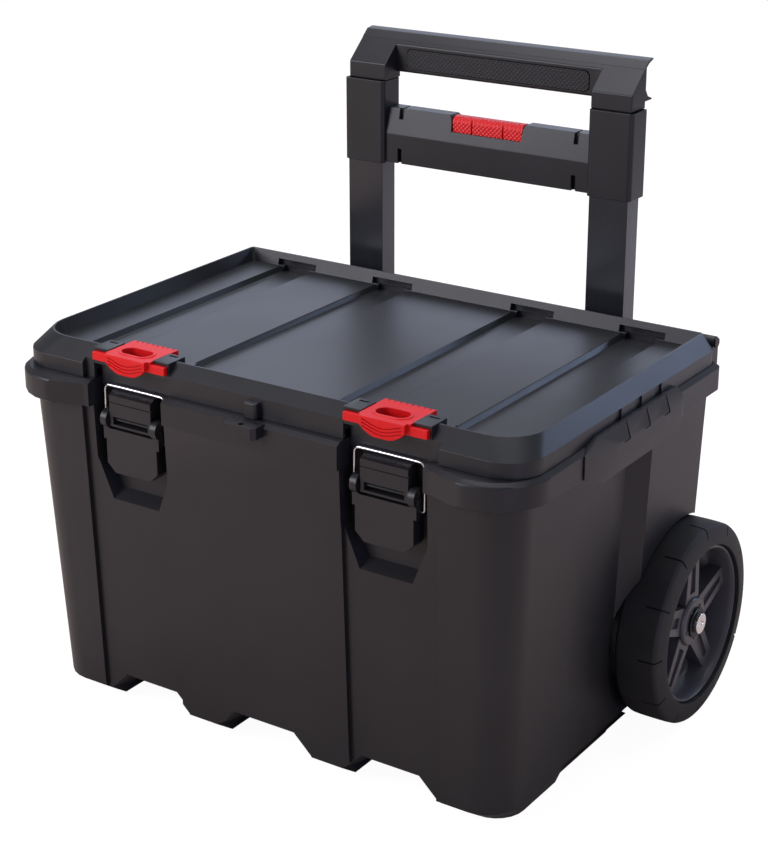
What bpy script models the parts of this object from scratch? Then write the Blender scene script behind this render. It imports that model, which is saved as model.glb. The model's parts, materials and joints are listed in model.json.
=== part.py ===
"""Rolling toolbox: a deep tub on two wheels with a hinged lid, two wire latches and a pull-out handle.

Run with: blender --background --python part.py
Lengths are metres. X runs to the right, Y to the back and Z up, with the ground at zero.
"""

import math

import bmesh
import bpy
from mathutils import Matrix, Vector

# Left and right as seen from the front
SIDES = {"left": -1, "right": 1}

# General fits
GAP = 0.0003
OVERRUN = 0.004
SUNK = 0.0015
CORNER_STEPS = 6
ROUND_SIDES = 24
WHEEL_SIDES = 48
SMOOTH_ANGLE = math.radians(35)

# Tub walls, at the height of the flange
TUB_HALF = 0.247
TUB_FRONT = -0.1927
TUB_REAR = 0.1464
TUB_FRONT_RADIUS = 0.032
TUB_REAR_RADIUS = 0.012
TUB_DRAFT = 0.011
WALL = 0.003
UNDERSIDE = 0.013
FOOT_CHAMFER_TOP = 0.0137
FOOT_CHAMFER_FRONT = 0.019
FOOT_CHAMFER_SIDE = 0.005
FOOT_CHAMFER_REAR = 0.010

# Flange round the tub's mouth
FLANGE_LOW = 0.290
FLANGE_SHOULDER = 0.310
RIM_TOP = 0.313
FLANGE_OUT = 0.0115
FLANGE_HALF = TUB_HALF + FLANGE_OUT
FLANGE_FRONT = -0.2053
FLANGE_MIDDLE_FRONT = -0.1954
FLANGE_REAR = 0.1497
FLANGE_FRONT_RADIUS = 0.0472
FLANGE_REAR_RADIUS = 0.012
FLANGE_CORNER = 0.0535
FLANGE_TAPER = 0.030
FLANGE_TAPER_OUTER = FLANGE_HALF - FLANGE_CORNER
FLANGE_TAPER_INNER = FLANGE_TAPER_OUTER - FLANGE_TAPER
FLANGE_SLOPE = 0.0045
FRONT_BEAM_DEPTH = 0.024
REAR_BEAM_DEPTH = 0.0095

# Front panel, side panels and feet
COLUMN = 0.068
PANEL_HALF = TUB_HALF - COLUMN
PANEL_STEP = 0.0035
STRIP_INSET = 0.0005
SIDE_STEP = 0.002
SIDE_STEP_ONE = -0.0823
SIDE_STEP_TWO = -0.0193
FOOT_INNER = 0.050
FOOT_OUTER = 0.082
CORNER_FOOT = 0.074
FOOT_CORNER = TUB_HALF - CORNER_FOOT
NOTCH_TOP = 0.0305
NOTCH_FLANK = 0.017
NOTCH_RUN = 0.0235
REBATE_HEIGHT = 0.0105
REBATE_DEPTH = 0.017
RUNNER_REAR = -0.0014

# Wheel housings and wheels
WHEEL_Y = 0.087
WHEEL_RADIUS = 0.0912
ARCH_GAP = 0.003
ARCH_DEPTH = 0.015
ARCH_WALL_X = TUB_HALF - ARCH_DEPTH
HOUSING_OUT = 0.011
HOUSING_X = TUB_HALF + HOUSING_OUT
HOUSING_DRAFT = 0.0115
HOUSING_FOOT = 0.007
HOUSING_FOOT_X = TUB_HALF - HOUSING_FOOT
HOUSING_FRONT_FOOT = -0.0104
HOUSING_FRONT = 0.0176
HOUSING_REAR = 0.1176
HOUSING_CHAMFER = 0.015
HOUSING_END = 0.1406
HOUSING_LOW = 0.095
TYRE_CLEARANCE = 0.0063
TYRE_INNER_X = ARCH_WALL_X + TYRE_CLEARANCE
TYRE_WIDTH = 0.0443
TYRE_OUTER_X = TYRE_INNER_X + TYRE_WIDTH
TYRE_SHOULDER = 0.0032
TYRE_SHOULDER_DROP = 0.004
TYRE_CHEEK = 0.0155
TYRE_DEPTH = 0.0192
TYRE_BORE = WHEEL_RADIUS - TYRE_DEPTH
RIM_WALL = 0.0055
RIM_INSET = 0.004
HUB_RADIUS = 0.0225
HUB_RECESS = 0.0091
HUB_OUTER_X = TYRE_OUTER_X - HUB_RECESS
SPOKES = 5
SPOKE_ROOT = 0.024
SPOKE_TIP = 0.017
SPOKE_BACK = 0.0177
SPOKE_INNER_X = TYRE_INNER_X + SPOKE_BACK
SPOKE_FACE = 0.0126
SPOKE_OUTER_X = TYRE_OUTER_X - SPOKE_FACE
BUSH_RADIUS = 0.011
AXLE_RADIUS = 0.008
AXLE_PLATE = 0.003
AXLE_PLATE_RADIUS = 0.022
AXLE_BOSS_RADIUS = 0.016
AXLE_BOSS = 0.0052
WASHER = 0.0015
WASHER_RADIUS = 0.0138
SCREW_HEAD_RADIUS = 0.0095
SCREW_HEAD = 0.0038
SCREW_RADIUS = 0.0038
SCREW_LENGTH = 0.022
SCREW_SLOT = 0.0018
SCREW_SLOT_DEPTH = 0.0016

# Lid
LID_OUT = 0.0063
LID_HALF = TUB_HALF + LID_OUT
LID_FRONT = -0.189
LID_MIDDLE_FRONT = -0.1847
LID_REAR = 0.1447
LID_FRONT_RADIUS = 0.031
LID_CREST_RADIUS = 0.034
LID_REAR_RADIUS = 0.012
LID_BAND_TOP = 0.326
LID_TOP = 0.3404
LID_SIDE_SLOPE = 0.0093
LID_FRONT_SLOPE = 0.0143
LID_REAR_SLOPE = 0.0092
CREST_WIDTH = 0.0015
RIM_INNER_SLOPE = 0.0035
PLATEAU_Z = 0.328
VALLEY_DEPTH = 0.005
VALLEY_INNER = 0.057
VALLEY_WIDTH = 0.038
VALLEY_PITCH = 0.111
VALLEY_FLANK = 0.003
LID_UNDERSIDE = 0.320
LID_FRONT_WALL = 0.0075
PLUG_GAP = 0.0016
PLUG_LOW = 0.307
SEAL_WIDTH = 0.0045
HOOK_SLOT_DEPTH = 0.0022
HOOK_SLOT_INSET = 0.004

# Lid hinge
HINGE_Y = 0.1516
HINGE_Z = 0.328
HINGE_EYE = 0.0055
HINGE_PIN = 0.0022
HINGE_INSET = 0.015
HINGE_X = TUB_HALF - HINGE_INSET
KNUCKLE_WIDTH = 0.012
EAR_WIDTH = 0.010
EAR_GAP = 0.0005
HINGE_PIN_HEAD = 0.0014
TOWER_DROP = 0.034

# Latches
LATCH_X = 0.1288
BAY_HALF = 0.040
BAY_FLOOR = -0.1737
BAY_FACET_TOP = 0.242
BAY_FACET_LOW = 0.213
BAY_FACET_HALF = 0.024
BAY_BEVEL_LOW = 0.2035
BAY_FLARE = 0.0015
BAY_MOUTH = 0.045
BLOCK_HALF = 0.0225
BLOCK_FRONT = -0.1888
BLOCK_TOP = 0.3055
BLOCK_TOP_SLOPE = 0.0030
BLOCK_LOW = 0.2745
BLOCK_SLOT_LOW = 0.2765
BLOCK_SLOT_TOP = 0.2835
BLOCK_SLOT_HALF = 0.019
BLOCK_SLOT_REAR = -0.1789
SEAM_Z = 0.2955
SEAM = 0.0012
LEVER_Y = -0.1847
LEVER_Z = 0.280
LEVER_PIN = 0.0016
LEVER_PIN_GAP = 0.0003
EAR_INNER = 0.0240
EAR_OUTER = 0.0302
EAR_RADIUS = 0.0083
FLAP_HALF_TOP = 0.0255
FLAP_HALF = 0.0275
FLAP_TOP = 0.272
FLAP_WIDEST = 0.262
FLAP_CORNER = 0.240
FLAP_LOW = 0.232
FLAP_LOW_HALF = 0.019
FLAP_PLATE = 0.0035
FLAP_REAR = -0.1752
FLAP_CHEEK = 0.003
BAIL_Y = -0.1811
BAIL_Z = 0.267
BAIL_RADIUS = 0.0015
BAIL_HALF = 0.033
BAIL_TOP = 0.3083
BAIL_BEND = 0.005
BAIL_FOOT_BEND = 0.0026
BAIL_TIP = 0.0250
BAIL_STEPS = 5
BAIL_SIDES = 8
CATCH_HALF = 0.0385
CATCH_FRONT = -0.1779
CATCH_WALL = 0.003
CATCH_RISE = 0.0008

# Padlock tab in the middle of the tub's front, and the lid's tab above it
TAB_HALF = 0.0163
TAB_FRONT = -0.2073
TAB_LOW = 0.3025
TAB_CHAMFER = 0.0035
TAB_HOLE = 0.0025
TAB_HOLE_INSET = 0.0055
LID_TAB_HALF = 0.0067
LID_TAB_FRONT = -0.191
LID_TAB_TOP = 0.327
LID_TAB_CHAMFER = 0.0015

# Sliding locks on the lid's front edge
LOCK_BAY_HALF = 0.041
LOCK_BED = 0.3306
LOCK_BED_THICKNESS = 0.004
LOCK_BED_FRONT = -0.1844
LOCK_BED_REAR = -0.1469
LOCK_HALF = 0.024
LOCK_FRONT = -0.1883
LOCK_REAR = -0.1503
LOCK_WING_HALF = 0.039
LOCK_WING_TOP = 0.338
LOCK_WING_REAR = -0.1664
LOCK_NOSE_FRONT = -0.1923
LOCK_NOSE_LOW = 0.3244
LOCK_NOSE_HALF = 0.021
LOCK_NOSE_LOW_HALF = 0.010
LOCK_NOSE_REAR = -0.1854
LOCK_POCKET_HALF = 0.0145
LOCK_POCKET_TIP = 0.0065
LOCK_POCKET_FRONT = -0.1829
LOCK_POCKET_REAR = -0.1679
LOCK_TEETH = 8
LOCK_TOOTH = 0.0014
LOCK_COVER_TOP = 0.3412
LOCK_COVER_REAR = -0.1624

# Finger grips on the sides
GRIP_PROUD = 0.004
GRIP_FACE_X = FLANGE_HALF + GRIP_PROUD
GRIP_TOP_INSET = 0.0005
GRIP_TOP_X = FLANGE_HALF - GRIP_TOP_INSET
GRIP_FRONT_Y = -0.1053
GRIP_REAR_Y = 0.0657
GRIP_TOP = 0.3175
GRIP_FACE_TOP = 0.304
GRIP_FACE_LOW = 0.2925
GRIP_LIP_ROOT = 0.2895
GRIP_LOW = 0.278
GRIP_LIP = 0.0026
GRIP_LIP_LEAN = 0.0016
GRIP_END_CHAMFER = 0.008
GRIP_FRONT_TAPER = 0.075
GRIP_FRONT_RISE = 0.030
GRIP_REAR_TAPER = 0.012
GRIP_EDGE = 0.0008
GRIP_SLOTS = 3
GRIP_SLOT_FIRST = -0.0358
GRIP_SLOT_PITCH = 0.0355
GRIP_SLOT_WIDTH = 0.002
GRIP_SLOT_DEPTH = 0.0008
GRIP_SLOT_LOW = 0.302
GRIP_SLOT_FOOT = 0.008
LID_POCKET = 0.011
LID_POCKET_TOP = 0.3262
LID_POCKET_DEPTH = 0.0015

# Handle guides on the tub's back and the posts in them
POST_X = 0.1303
POST_WIDTH = 0.0386
POST_FRONT = 0.1674
POST_DEPTH = 0.0212
POST_WALL = 0.0016
POST_LOW = 0.150
GUIDE_WALL = 0.0032
GUIDE_REAR_WALL = 0.0028
GUIDE_LOW = 0.040
GUIDE_FLOOR = 0.004
GUIDE_SHELF = 0.2895
GUIDE_RISE = 0.0165
GUIDE_TOP = GUIDE_SHELF + GUIDE_RISE
GUIDE_BEVEL = 0.014
GUIDE_DRAIN = 0.010
BUSH_COLLAR = 0.0045

# Yoke: the two sleeves and the crossbar on the posts
SLEEVE_HALF = 0.0221
SLEEVE_FRONT = 0.1653
SLEEVE_REAR = 0.1945
SLEEVE_LOW = 0.4358
SLEEVE_HEIGHT = 0.0782
SLEEVE_TOP = SLEEVE_LOW + SLEEVE_HEIGHT
POST_END = 0.014
POST_TOP = SLEEVE_TOP - POST_END
SLEEVE_CHAMFER = 0.004
CROSSBAR_RISE = 0.0012
CROSSBAR_LOW = SLEEVE_LOW + CROSSBAR_RISE
CROSSBAR_HEIGHT = 0.0522
CROSSBAR_TOP = CROSSBAR_LOW + CROSSBAR_HEIGHT
CROSSBAR_FRONT = 0.1696
CROSSBAR_REAR = 0.1921
CROSSBAR_CREASE = 0.0275
CROSSBAR_LEAN = 0.005
CROSSBAR_CHAMFER = 0.003
CROSSBAR_CAVITY_HALF = 0.088
CAVITY_FLOOR = 0.008
CROSSBAR_CAVITY_LOW = CROSSBAR_LOW + CAVITY_FLOOR
CAVITY_HEIGHT = 0.022
CROSSBAR_CAVITY_TOP = CROSSBAR_CAVITY_LOW + CAVITY_HEIGHT
CROSSBAR_WALL = 0.004
YOKE_SPLIT = 0.1806
YOKE_NOTCH_X = 0.0912
YOKE_NOTCH_WIDTH = 0.0038
YOKE_NOTCH_DROP = 0.010
YOKE_NOTCH_RISE = 0.014
YOKE_NOTCH_DEPTH = 0.0045
YOKE_SLIT = 0.0016
BUTTON_HALF = 0.037
BUTTON_SUNK = 0.0007
BUTTON_TOP = CROSSBAR_TOP - BUTTON_SUNK
BUTTON_HEIGHT = 0.0175
BUTTON_LOW = BUTTON_TOP - BUTTON_HEIGHT
BUTTON_TRAVEL = 0.004
BUTTON_FRONT = 0.1741
BUTTON_REAR = 0.1876
BUTTON_WINDOW = 0.0152
RECESS_DROP = 0.0055
RECESS_FLARE = 0.0024
BUTTON_STEM_HALF = 0.008
BUTTON_STEM_DEPTH = 0.0035
BUTTON_STEM = 0.0055
BUTTON_STEM_LOW = BUTTON_LOW - BUTTON_STEM
BUTTON_ROUND = 0.006
BUTTON_BACK_ROUND = 0.003
BUTTON_GROOVE_X = 0.0165
BUTTON_GROOVE = 0.0016
SPRING_RADIUS = 0.0036
SPRING_WIRE = 0.0005
SPRING_TURNS = 6
SPRING_TURN_POINTS = 8
BOLT_RADIUS = 0.003
BOLT_RISE = 0.010
BOLT_Z = CROSSBAR_CAVITY_LOW + BOLT_RISE
BOLT_TIP = 0.118
BOLT_INNER = 0.014
BOLT_HEAD_LENGTH = 0.012
BOLT_HEAD_HALF = 0.004

# Inner tubes and grip
TUBE_WIDTH = 0.032
TUBE_DEPTH = 0.0136
TUBE_WALL = 0.0014
TUBE_LOW = 0.200
HANDLE_TRAVEL = 0.240
STOP_HEIGHT = 0.012
POST_BUSH_LENGTH = 0.020
POST_BUSH_FLANGE = 0.003
GRIP_HALF = 0.149
GRIP_LEG_INNER = 0.1085
GRIP_LEG_LOW = SLEEVE_TOP + GAP
GRIP_CHEEK = 0.0152
GRIP_SHOULDER_Z = GRIP_LEG_LOW + GRIP_CHEEK
GRIP_HEIGHT = 0.0427
GRIP_BAR_TOP = GRIP_LEG_LOW + GRIP_HEIGHT
GRIP_RIDGE_DROP = 0.0013
GRIP_RIDGE_Z = GRIP_BAR_TOP - GRIP_RIDGE_DROP
GRIP_LEG = 0.0057
GRIP_BAR_LOW = GRIP_LEG_LOW + GRIP_LEG
TUBE_SEAT = 0.0142
TUBE_TOP = GRIP_LEG_LOW + TUBE_SEAT
GRIP_BAR_CORNER = 0.0015
GRIP_FRONT = 0.169
GRIP_REAR = 0.1945
GRIP_RIDGE_Y = 0.1986
GRIP_TIP_Y = 0.2073
GRIP_TIP = 0.0014
GRIP_FILLET = 0.0045
GRIP_BAR_FRONT = 0.1876
GRIP_BAR_REAR = 0.1951
GRIP_SPLIT = 0.1911
PAD_HALF = 0.096
PAD_RISE = 0.004
PAD_LOW = GRIP_BAR_LOW + PAD_RISE
PAD_HEIGHT = 0.018
PAD_TOP = PAD_LOW + PAD_HEIGHT
PAD_DEPTH = 0.0014
PAD_PROUD = 0.0004
PAD_CHAMFER = 0.003


def clear_scene():
    """Removes every object that the file starts with."""
    for obj in list(bpy.data.objects):
        bpy.data.objects.remove(obj)


def material(name, colour, roughness, metallic=0.0):
    """A Principled material of one plain colour."""
    made = bpy.data.materials.new(name)
    made.use_nodes = True
    shader = made.node_tree.nodes["Principled BSDF"]
    shader.inputs["Base Color"].default_value = (*colour, 1.0)
    shader.inputs["Roughness"].default_value = roughness
    shader.inputs["Metallic"].default_value = metallic
    made.diffuse_color = (*colour, 1.0)
    return made


def add_object(name, bm):
    """A scene object made from the finished bmesh."""
    bmesh.ops.recalc_face_normals(bm, faces=bm.faces)
    mesh = bpy.data.meshes.new(name)
    bm.to_mesh(mesh)
    bm.free()
    obj = bpy.data.objects.new(name, mesh)
    bpy.context.scene.collection.objects.link(obj)
    return obj


def rounded(corners, steps=CORNER_STEPS):
    """The outline through corners given as (a, b, radius), each rounded by an arc of its radius."""
    points = []
    for index, (a, b, radius) in enumerate(corners):
        here = Vector((a, b))
        if radius == 0:
            points.append((a, b))
            continue
        back = (Vector(corners[index - 1][:2]) - here).normalized()
        ahead = (Vector(corners[(index + 1) % len(corners)][:2]) - here).normalized()
        half_angle = back.angle(ahead) / 2
        centre = here + (back + ahead).normalized() * radius / math.sin(half_angle)
        start = here + back * radius / math.tan(half_angle) - centre
        turn = start.angle_signed(here + ahead * radius / math.tan(half_angle) - centre)
        for step in range(steps + 1):
            arm = Matrix.Rotation(-turn * step / steps, 2) @ start
            points.append(tuple(centre + arm))
    return points


def rectangle(a_low, a_high, b_low, b_high, radius=0.0):
    """A rectangle's outline, with rounded corners where a radius is given."""
    corners = ((a_low, b_low), (a_high, b_low), (a_high, b_high), (a_low, b_high))
    return rounded([(a, b, radius) for a, b in corners])


def circle(a, b, radius, sides=ROUND_SIDES):
    """A circle's outline."""
    angles = [math.tau * step / sides for step in range(sides)]
    return [(a + radius * math.cos(angle), b + radius * math.sin(angle)) for angle in angles]


def placed(outline, axis, level):
    """The outline's points in space, on the plane square to the axis at the level."""
    if axis == "X":
        return [(level, a, b) for a, b in outline]
    if axis == "Y":
        return [(a, level, b) for a, b in outline]
    return [(a, b, level) for a, b in outline]


def loft(name, axis, sections):
    """A closed body through the sections, each a (level, outline) pair with as many points."""
    bm = bmesh.new()
    rings = [[bm.verts.new(point) for point in placed(outline, axis, level)] for level, outline in sections]
    for lower, upper in zip(rings, rings[1:]):
        for index in range(len(lower)):
            after = (index + 1) % len(lower)
            bm.faces.new((lower[index], lower[after], upper[after], upper[index]))
    bm.faces.new(rings[0])
    bm.faces.new(rings[-1])
    return add_object(name, bm)


def prism(name, axis, low, high, outline):
    """The outline carried along the axis from low to high."""
    return loft(name, axis, [(min(low, high), outline), (max(low, high), outline)])


def box(name, x_span, y_span, z_span):
    """A box from its three spans."""
    return prism(name, "Z", *z_span, rectangle(*sorted(x_span), *y_span))


def turned(name, side, profile, steps=WHEEL_SIDES):
    """A ring about the wheel's axis, from a closed profile of (distance from the middle, radius)."""
    bm = bmesh.new()
    rings = []
    for step in range(steps):
        angle = math.tau * step / steps
        y_share, z_share = math.cos(angle), math.sin(angle)
        ring = [
            bm.verts.new((side * x, WHEEL_Y + radius * y_share, WHEEL_RADIUS + radius * z_share))
            for x, radius in profile
        ]
        rings.append(ring)
    for index, ring in enumerate(rings):
        following = rings[(index + 1) % steps]
        for low in range(len(profile)):
            high = (low + 1) % len(profile)
            bm.faces.new((ring[low], ring[high], following[high], following[low]))
    return add_object(name, bm)


def tube(name, points, radius, sides):
    """A round wire along the points, with flat ends."""
    curve = bpy.data.curves.new(name, "CURVE")
    curve.dimensions = "3D"
    curve.bevel_depth = radius
    curve.bevel_resolution = max(0, sides // 4 - 1)
    curve.use_fill_caps = True
    spline = curve.splines.new("POLY")
    spline.points.add(len(points) - 1)
    for spline_point, point in zip(spline.points, points):
        spline_point.co = (*point, 1.0)
    guide = bpy.data.objects.new(name, curve)
    bpy.context.scene.collection.objects.link(guide)
    bpy.context.view_layer.update()
    mesh = bpy.data.meshes.new_from_object(guide.evaluated_get(bpy.context.evaluated_depsgraph_get()))
    bpy.data.objects.remove(guide)
    obj = bpy.data.objects.new(name, mesh)
    bpy.context.scene.collection.objects.link(obj)
    return obj


def boolean(target, operation, tools):
    """Applies the tools to the target one after the other, and removes them."""
    for tool in tools:
        modifier = target.modifiers.new(tool.name, "BOOLEAN")
        modifier.operation = operation
        modifier.solver = "EXACT"
        modifier.object = tool
    bpy.context.view_layer.update()
    graph = bpy.context.evaluated_depsgraph_get()
    mesh = bpy.data.meshes.new_from_object(target.evaluated_get(graph))
    target.modifiers.clear()
    target.data = mesh
    for tool in tools:
        bpy.data.objects.remove(tool)
    return target


def join(target, *tools):
    """Unites the tools with the target."""
    return boolean(target, "UNION", tools)


def cut(target, *tools):
    """Takes the tools away from the target."""
    return boolean(target, "DIFFERENCE", tools)


def keep_inside(target, tool):
    """Keeps what the target shares with the tool."""
    return boolean(target, "INTERSECT", [tool])


def empty_at(name, point, parent=None):
    """An empty on a joint's axis that carries the moving pieces."""
    made = bpy.data.objects.new(name, None)
    bpy.context.scene.collection.objects.link(made)
    made.location = Vector(point) - (world_place(parent) if parent else Vector())
    made.parent = parent
    return made


def world_place(obj):
    """Where an unturned object stands, with its parents' places added."""
    place = obj.location.copy()
    while obj.parent:
        obj = obj.parent
        place += obj.location
    return place


def finish(obj, name, finish_material, carrier=None):
    """Names and shades a piece, gives it its material and hangs it on its carrier's origin."""
    obj.name = name
    obj.data.name = name
    obj.data.materials.clear()
    obj.data.materials.append(finish_material)
    obj.data.shade_smooth()
    obj.data.set_sharp_from_angle(angle=SMOOTH_ANGLE)
    if carrier:
        obj.data.transform(Matrix.Translation(-world_place(carrier)))
        obj.parent = carrier
    return obj


def wall_inset(z):
    """How far the drafted walls stand in from their place at the flange."""
    return TUB_DRAFT * (FLANGE_LOW - z) / FLANGE_LOW


def wall_ring(z, side_inset=0.0, front_inset=0.0, rear_inset=0.0):
    """The tub wall's outline at a height, drawn in by the insets."""
    draft = wall_inset(z)
    half = TUB_HALF - draft - side_inset
    front = TUB_FRONT + draft + front_inset
    rear = TUB_REAR - draft - rear_inset
    corners = [
        (-half, front, TUB_FRONT_RADIUS - side_inset),
        (half, front, TUB_FRONT_RADIUS - side_inset),
        (half, rear, TUB_REAR_RADIUS - rear_inset),
        (-half, rear, TUB_REAR_RADIUS - rear_inset),
    ]
    return z, rounded(corners)


def flange_ring(z, inset):
    """The flange's outline, whose front stands further out at the corners than in the middle."""
    half = FLANGE_HALF - inset
    front = FLANGE_FRONT + inset
    middle = FLANGE_MIDDLE_FRONT + inset
    rear = FLANGE_REAR - inset
    corners = [
        (-FLANGE_TAPER_OUTER, front, 0),
        (-FLANGE_TAPER_INNER, middle, 0),
        (FLANGE_TAPER_INNER, middle, 0),
        (FLANGE_TAPER_OUTER, front, 0),
        (half, front, FLANGE_FRONT_RADIUS - inset),
        (half, rear, FLANGE_REAR_RADIUS - inset),
        (-half, rear, FLANGE_REAR_RADIUS - inset),
        (-half, front, FLANGE_FRONT_RADIUS - inset),
    ]
    return z, rounded(corners)


def bay_cutter(centre):
    """The pocket in the tub's front wall that holds one latch."""
    floor_outline = [
        (centre - BAY_FACET_HALF, BAY_FACET_LOW),
        (centre + BAY_FACET_HALF, BAY_FACET_LOW),
        (centre + BAY_HALF, BAY_FACET_TOP),
        (centre + BAY_HALF, RIM_TOP + OVERRUN),
        (centre - BAY_HALF, RIM_TOP + OVERRUN),
        (centre - BAY_HALF, BAY_FACET_TOP),
    ]
    wide = BAY_FACET_HALF + BAY_FLARE
    mouth_outline = [
        (centre - wide, BAY_BEVEL_LOW),
        (centre + wide, BAY_BEVEL_LOW),
        (centre + BAY_HALF, BAY_FACET_TOP),
        (centre + BAY_HALF, RIM_TOP + OVERRUN),
        (centre - BAY_HALF, RIM_TOP + OVERRUN),
        (centre - BAY_HALF, BAY_FACET_TOP),
    ]
    mouth = TUB_FRONT + wall_inset(BAY_BEVEL_LOW)
    return loft(
        "bay",
        "Y",
        [(BAY_FLOOR - BAY_MOUTH, mouth_outline), (mouth, mouth_outline), (BAY_FLOOR, floor_outline)],
    )


def notch_cutter(low_half_left, low_half_right, rear):
    """The gap between two feet, which rises at the front wall and runs back at the underside."""
    sections = []
    front = TUB_FRONT + wall_inset(NOTCH_TOP) + PANEL_STEP
    lead = NOTCH_RUN * OVERRUN / (NOTCH_TOP - UNDERSIDE)
    for level, top in (
        (front - lead, NOTCH_TOP + OVERRUN), (front + NOTCH_RUN, UNDERSIDE), (rear, UNDERSIDE)
    ):
        flank = NOTCH_FLANK * top / NOTCH_TOP
        knee = FOOT_CHAMFER_TOP * top / NOTCH_TOP
        outline = [
            (low_half_left, -OVERRUN),
            (low_half_right, -OVERRUN),
            (low_half_right, knee),
            (low_half_right - flank, top),
            (low_half_left + flank, top),
            (low_half_left, knee),
        ]
        sections.append((level, outline))
    return loft("notch", "Y", sections)


def wheel_cylinder(side, radius, inner_x):
    """A cylinder on the wheel's axis, from inner_x out past everything."""
    outline = circle(WHEEL_Y, WHEEL_RADIUS, radius, WHEEL_SIDES)
    return prism("arch", "X", side * inner_x, side * (TYRE_OUTER_X + OVERRUN), outline)


def tub_cavity():
    """The room inside the tub, drawn in behind the latches, the wheels and the notches."""
    side_wall = WALL + SIDE_STEP
    front_wall = WALL + PANEL_STEP
    floor = UNDERSIDE + WALL
    ramp = NOTCH_TOP - UNDERSIDE
    beam_slope = FRONT_BEAM_DEPTH - front_wall
    beam_low = FLANGE_LOW - WALL
    beam_top = RIM_TOP + OVERRUN
    sections = [
        wall_ring(floor, side_wall, front_wall + NOTCH_RUN, WALL),
        wall_ring(floor + ramp, side_wall, front_wall, WALL),
        wall_ring(beam_low, side_wall, front_wall, WALL),
        wall_ring(beam_low + beam_slope, side_wall, FRONT_BEAM_DEPTH, REAR_BEAM_DEPTH),
        wall_ring(beam_top, side_wall, FRONT_BEAM_DEPTH, REAR_BEAM_DEPTH),
    ]
    cavity = loft("cavity", "Z", sections)
    bumps = []
    for side in SIDES.values():
        bumps.append(wheel_cylinder(side, WHEEL_RADIUS + ARCH_GAP + WALL, ARCH_WALL_X - WALL))
        centre = side * LATCH_X
        span = (centre - BAY_HALF - WALL, centre + BAY_HALF + WALL)
        bumps.append(
            box("bump", span, (TUB_FRONT - OVERRUN, BAY_FLOOR + WALL), (BAY_BEVEL_LOW - WALL, beam_top))
        )
    return cut(cavity, *bumps)


def wheel_housing(side):
    """The drafted column over one wheel, with a slanting front wall and a chamfer at the rear."""
    root = ARCH_WALL_X - OVERRUN
    sections = []
    for z in (HOUSING_LOW, FLANGE_LOW + SUNK):
        draft = HOUSING_DRAFT * (FLANGE_LOW - z) / FLANGE_LOW
        face = HOUSING_X - draft
        outline = [
            (side * root, HOUSING_FRONT_FOOT),
            (side * (HOUSING_FOOT_X - draft), HOUSING_FRONT_FOOT),
            (side * face, HOUSING_FRONT),
            (side * face, HOUSING_REAR),
            (side * (face - HOUSING_CHAMFER), HOUSING_END),
            (side * root, HOUSING_END),
        ]
        sections.append((z, outline))
    return loft("housing", "Z", sections)


def latch_block(centre):
    """The block that carries a latch's pin, with its seam groove and the slot that shows the pin."""
    outline = [
        (BLOCK_FRONT, BLOCK_LOW),
        (BAY_FLOOR + SUNK, BLOCK_LOW),
        (BAY_FLOOR + SUNK, BLOCK_TOP),
        (BAIL_Y - BAIL_RADIUS, BLOCK_TOP),
        (BLOCK_FRONT, BLOCK_TOP - BLOCK_TOP_SLOPE),
    ]
    block = prism("block", "X", centre - BLOCK_HALF, centre + BLOCK_HALF, outline)
    slot_span = (centre - BLOCK_SLOT_HALF, centre + BLOCK_SLOT_HALF)
    seam_span = (centre - BLOCK_HALF - OVERRUN, centre + BLOCK_HALF + OVERRUN)
    slot = box("slot", slot_span, (BLOCK_FRONT - OVERRUN, BLOCK_SLOT_REAR), (BLOCK_SLOT_LOW, BLOCK_SLOT_TOP))
    seam = box("seam", seam_span, (BLOCK_FRONT - OVERRUN, BLOCK_FRONT + SEAM), (SEAM_Z, SEAM_Z + SEAM))
    return cut(block, slot, seam)


def hinge_tower(side):
    """The two ears on the flange that hold one hinge pin, on a foot that leans out from the flange."""
    half = KNUCKLE_WIDTH / 2 + EAR_GAP + EAR_WIDTH
    centre = side * HINGE_X
    reach = HINGE_Y + HINGE_EYE
    foot_top = HINGE_Z - HINGE_EYE - EAR_GAP - SUNK
    low = HINGE_Z - TOWER_DROP
    ear = join(
        prism("ear", "X", centre - half, centre + half, circle(HINGE_Y, HINGE_Z, HINGE_EYE)),
        prism(
            "leg",
            "X",
            centre - half,
            centre + half,
            [
                (FLANGE_REAR - SUNK, low),
                (reach, low + HINGE_EYE),
                (reach, HINGE_Z),
                (HINGE_Y - HINGE_EYE, HINGE_Z),
                (HINGE_Y - HINGE_EYE, RIM_TOP - SUNK - SUNK),
                (FLANGE_REAR - SUNK, RIM_TOP - SUNK - SUNK),
            ],
        ),
    )
    gap_half = KNUCKLE_WIDTH / 2 + EAR_GAP
    gap_span = (centre - gap_half, centre + gap_half)
    gap = box(
        "gap",
        gap_span,
        (HINGE_Y - HINGE_EYE - OVERRUN, reach + OVERRUN),
        (foot_top, HINGE_Z + HINGE_EYE + OVERRUN),
    )
    return cut(ear, gap, pin_hole(centre, half))


def pin_hole(centre, half):
    """The bore for a hinge pin."""
    outline = circle(HINGE_Y, HINGE_Z, HINGE_PIN + GAP)
    return prism("pin_hole", "X", centre - half - OVERRUN, centre + half + OVERRUN, outline)


def front_tab(half, front, chamfer, low, high, rear):
    """A tab with chamfered corners in the middle of the front."""
    outline = [
        (-half, rear),
        (-half, front + chamfer),
        (-half + chamfer, front),
        (half - chamfer, front),
        (half, front + chamfer),
        (half, rear),
    ]
    return prism("tab", "Z", low, high, outline)


def padlock_hole():
    """The cutter for the padlock's shackle."""
    centre = TAB_FRONT + TAB_HOLE_INSET
    return prism("hole", "Z", TAB_LOW - OVERRUN, RIM_TOP + OVERRUN, circle(0, centre, TAB_HOLE))


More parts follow.
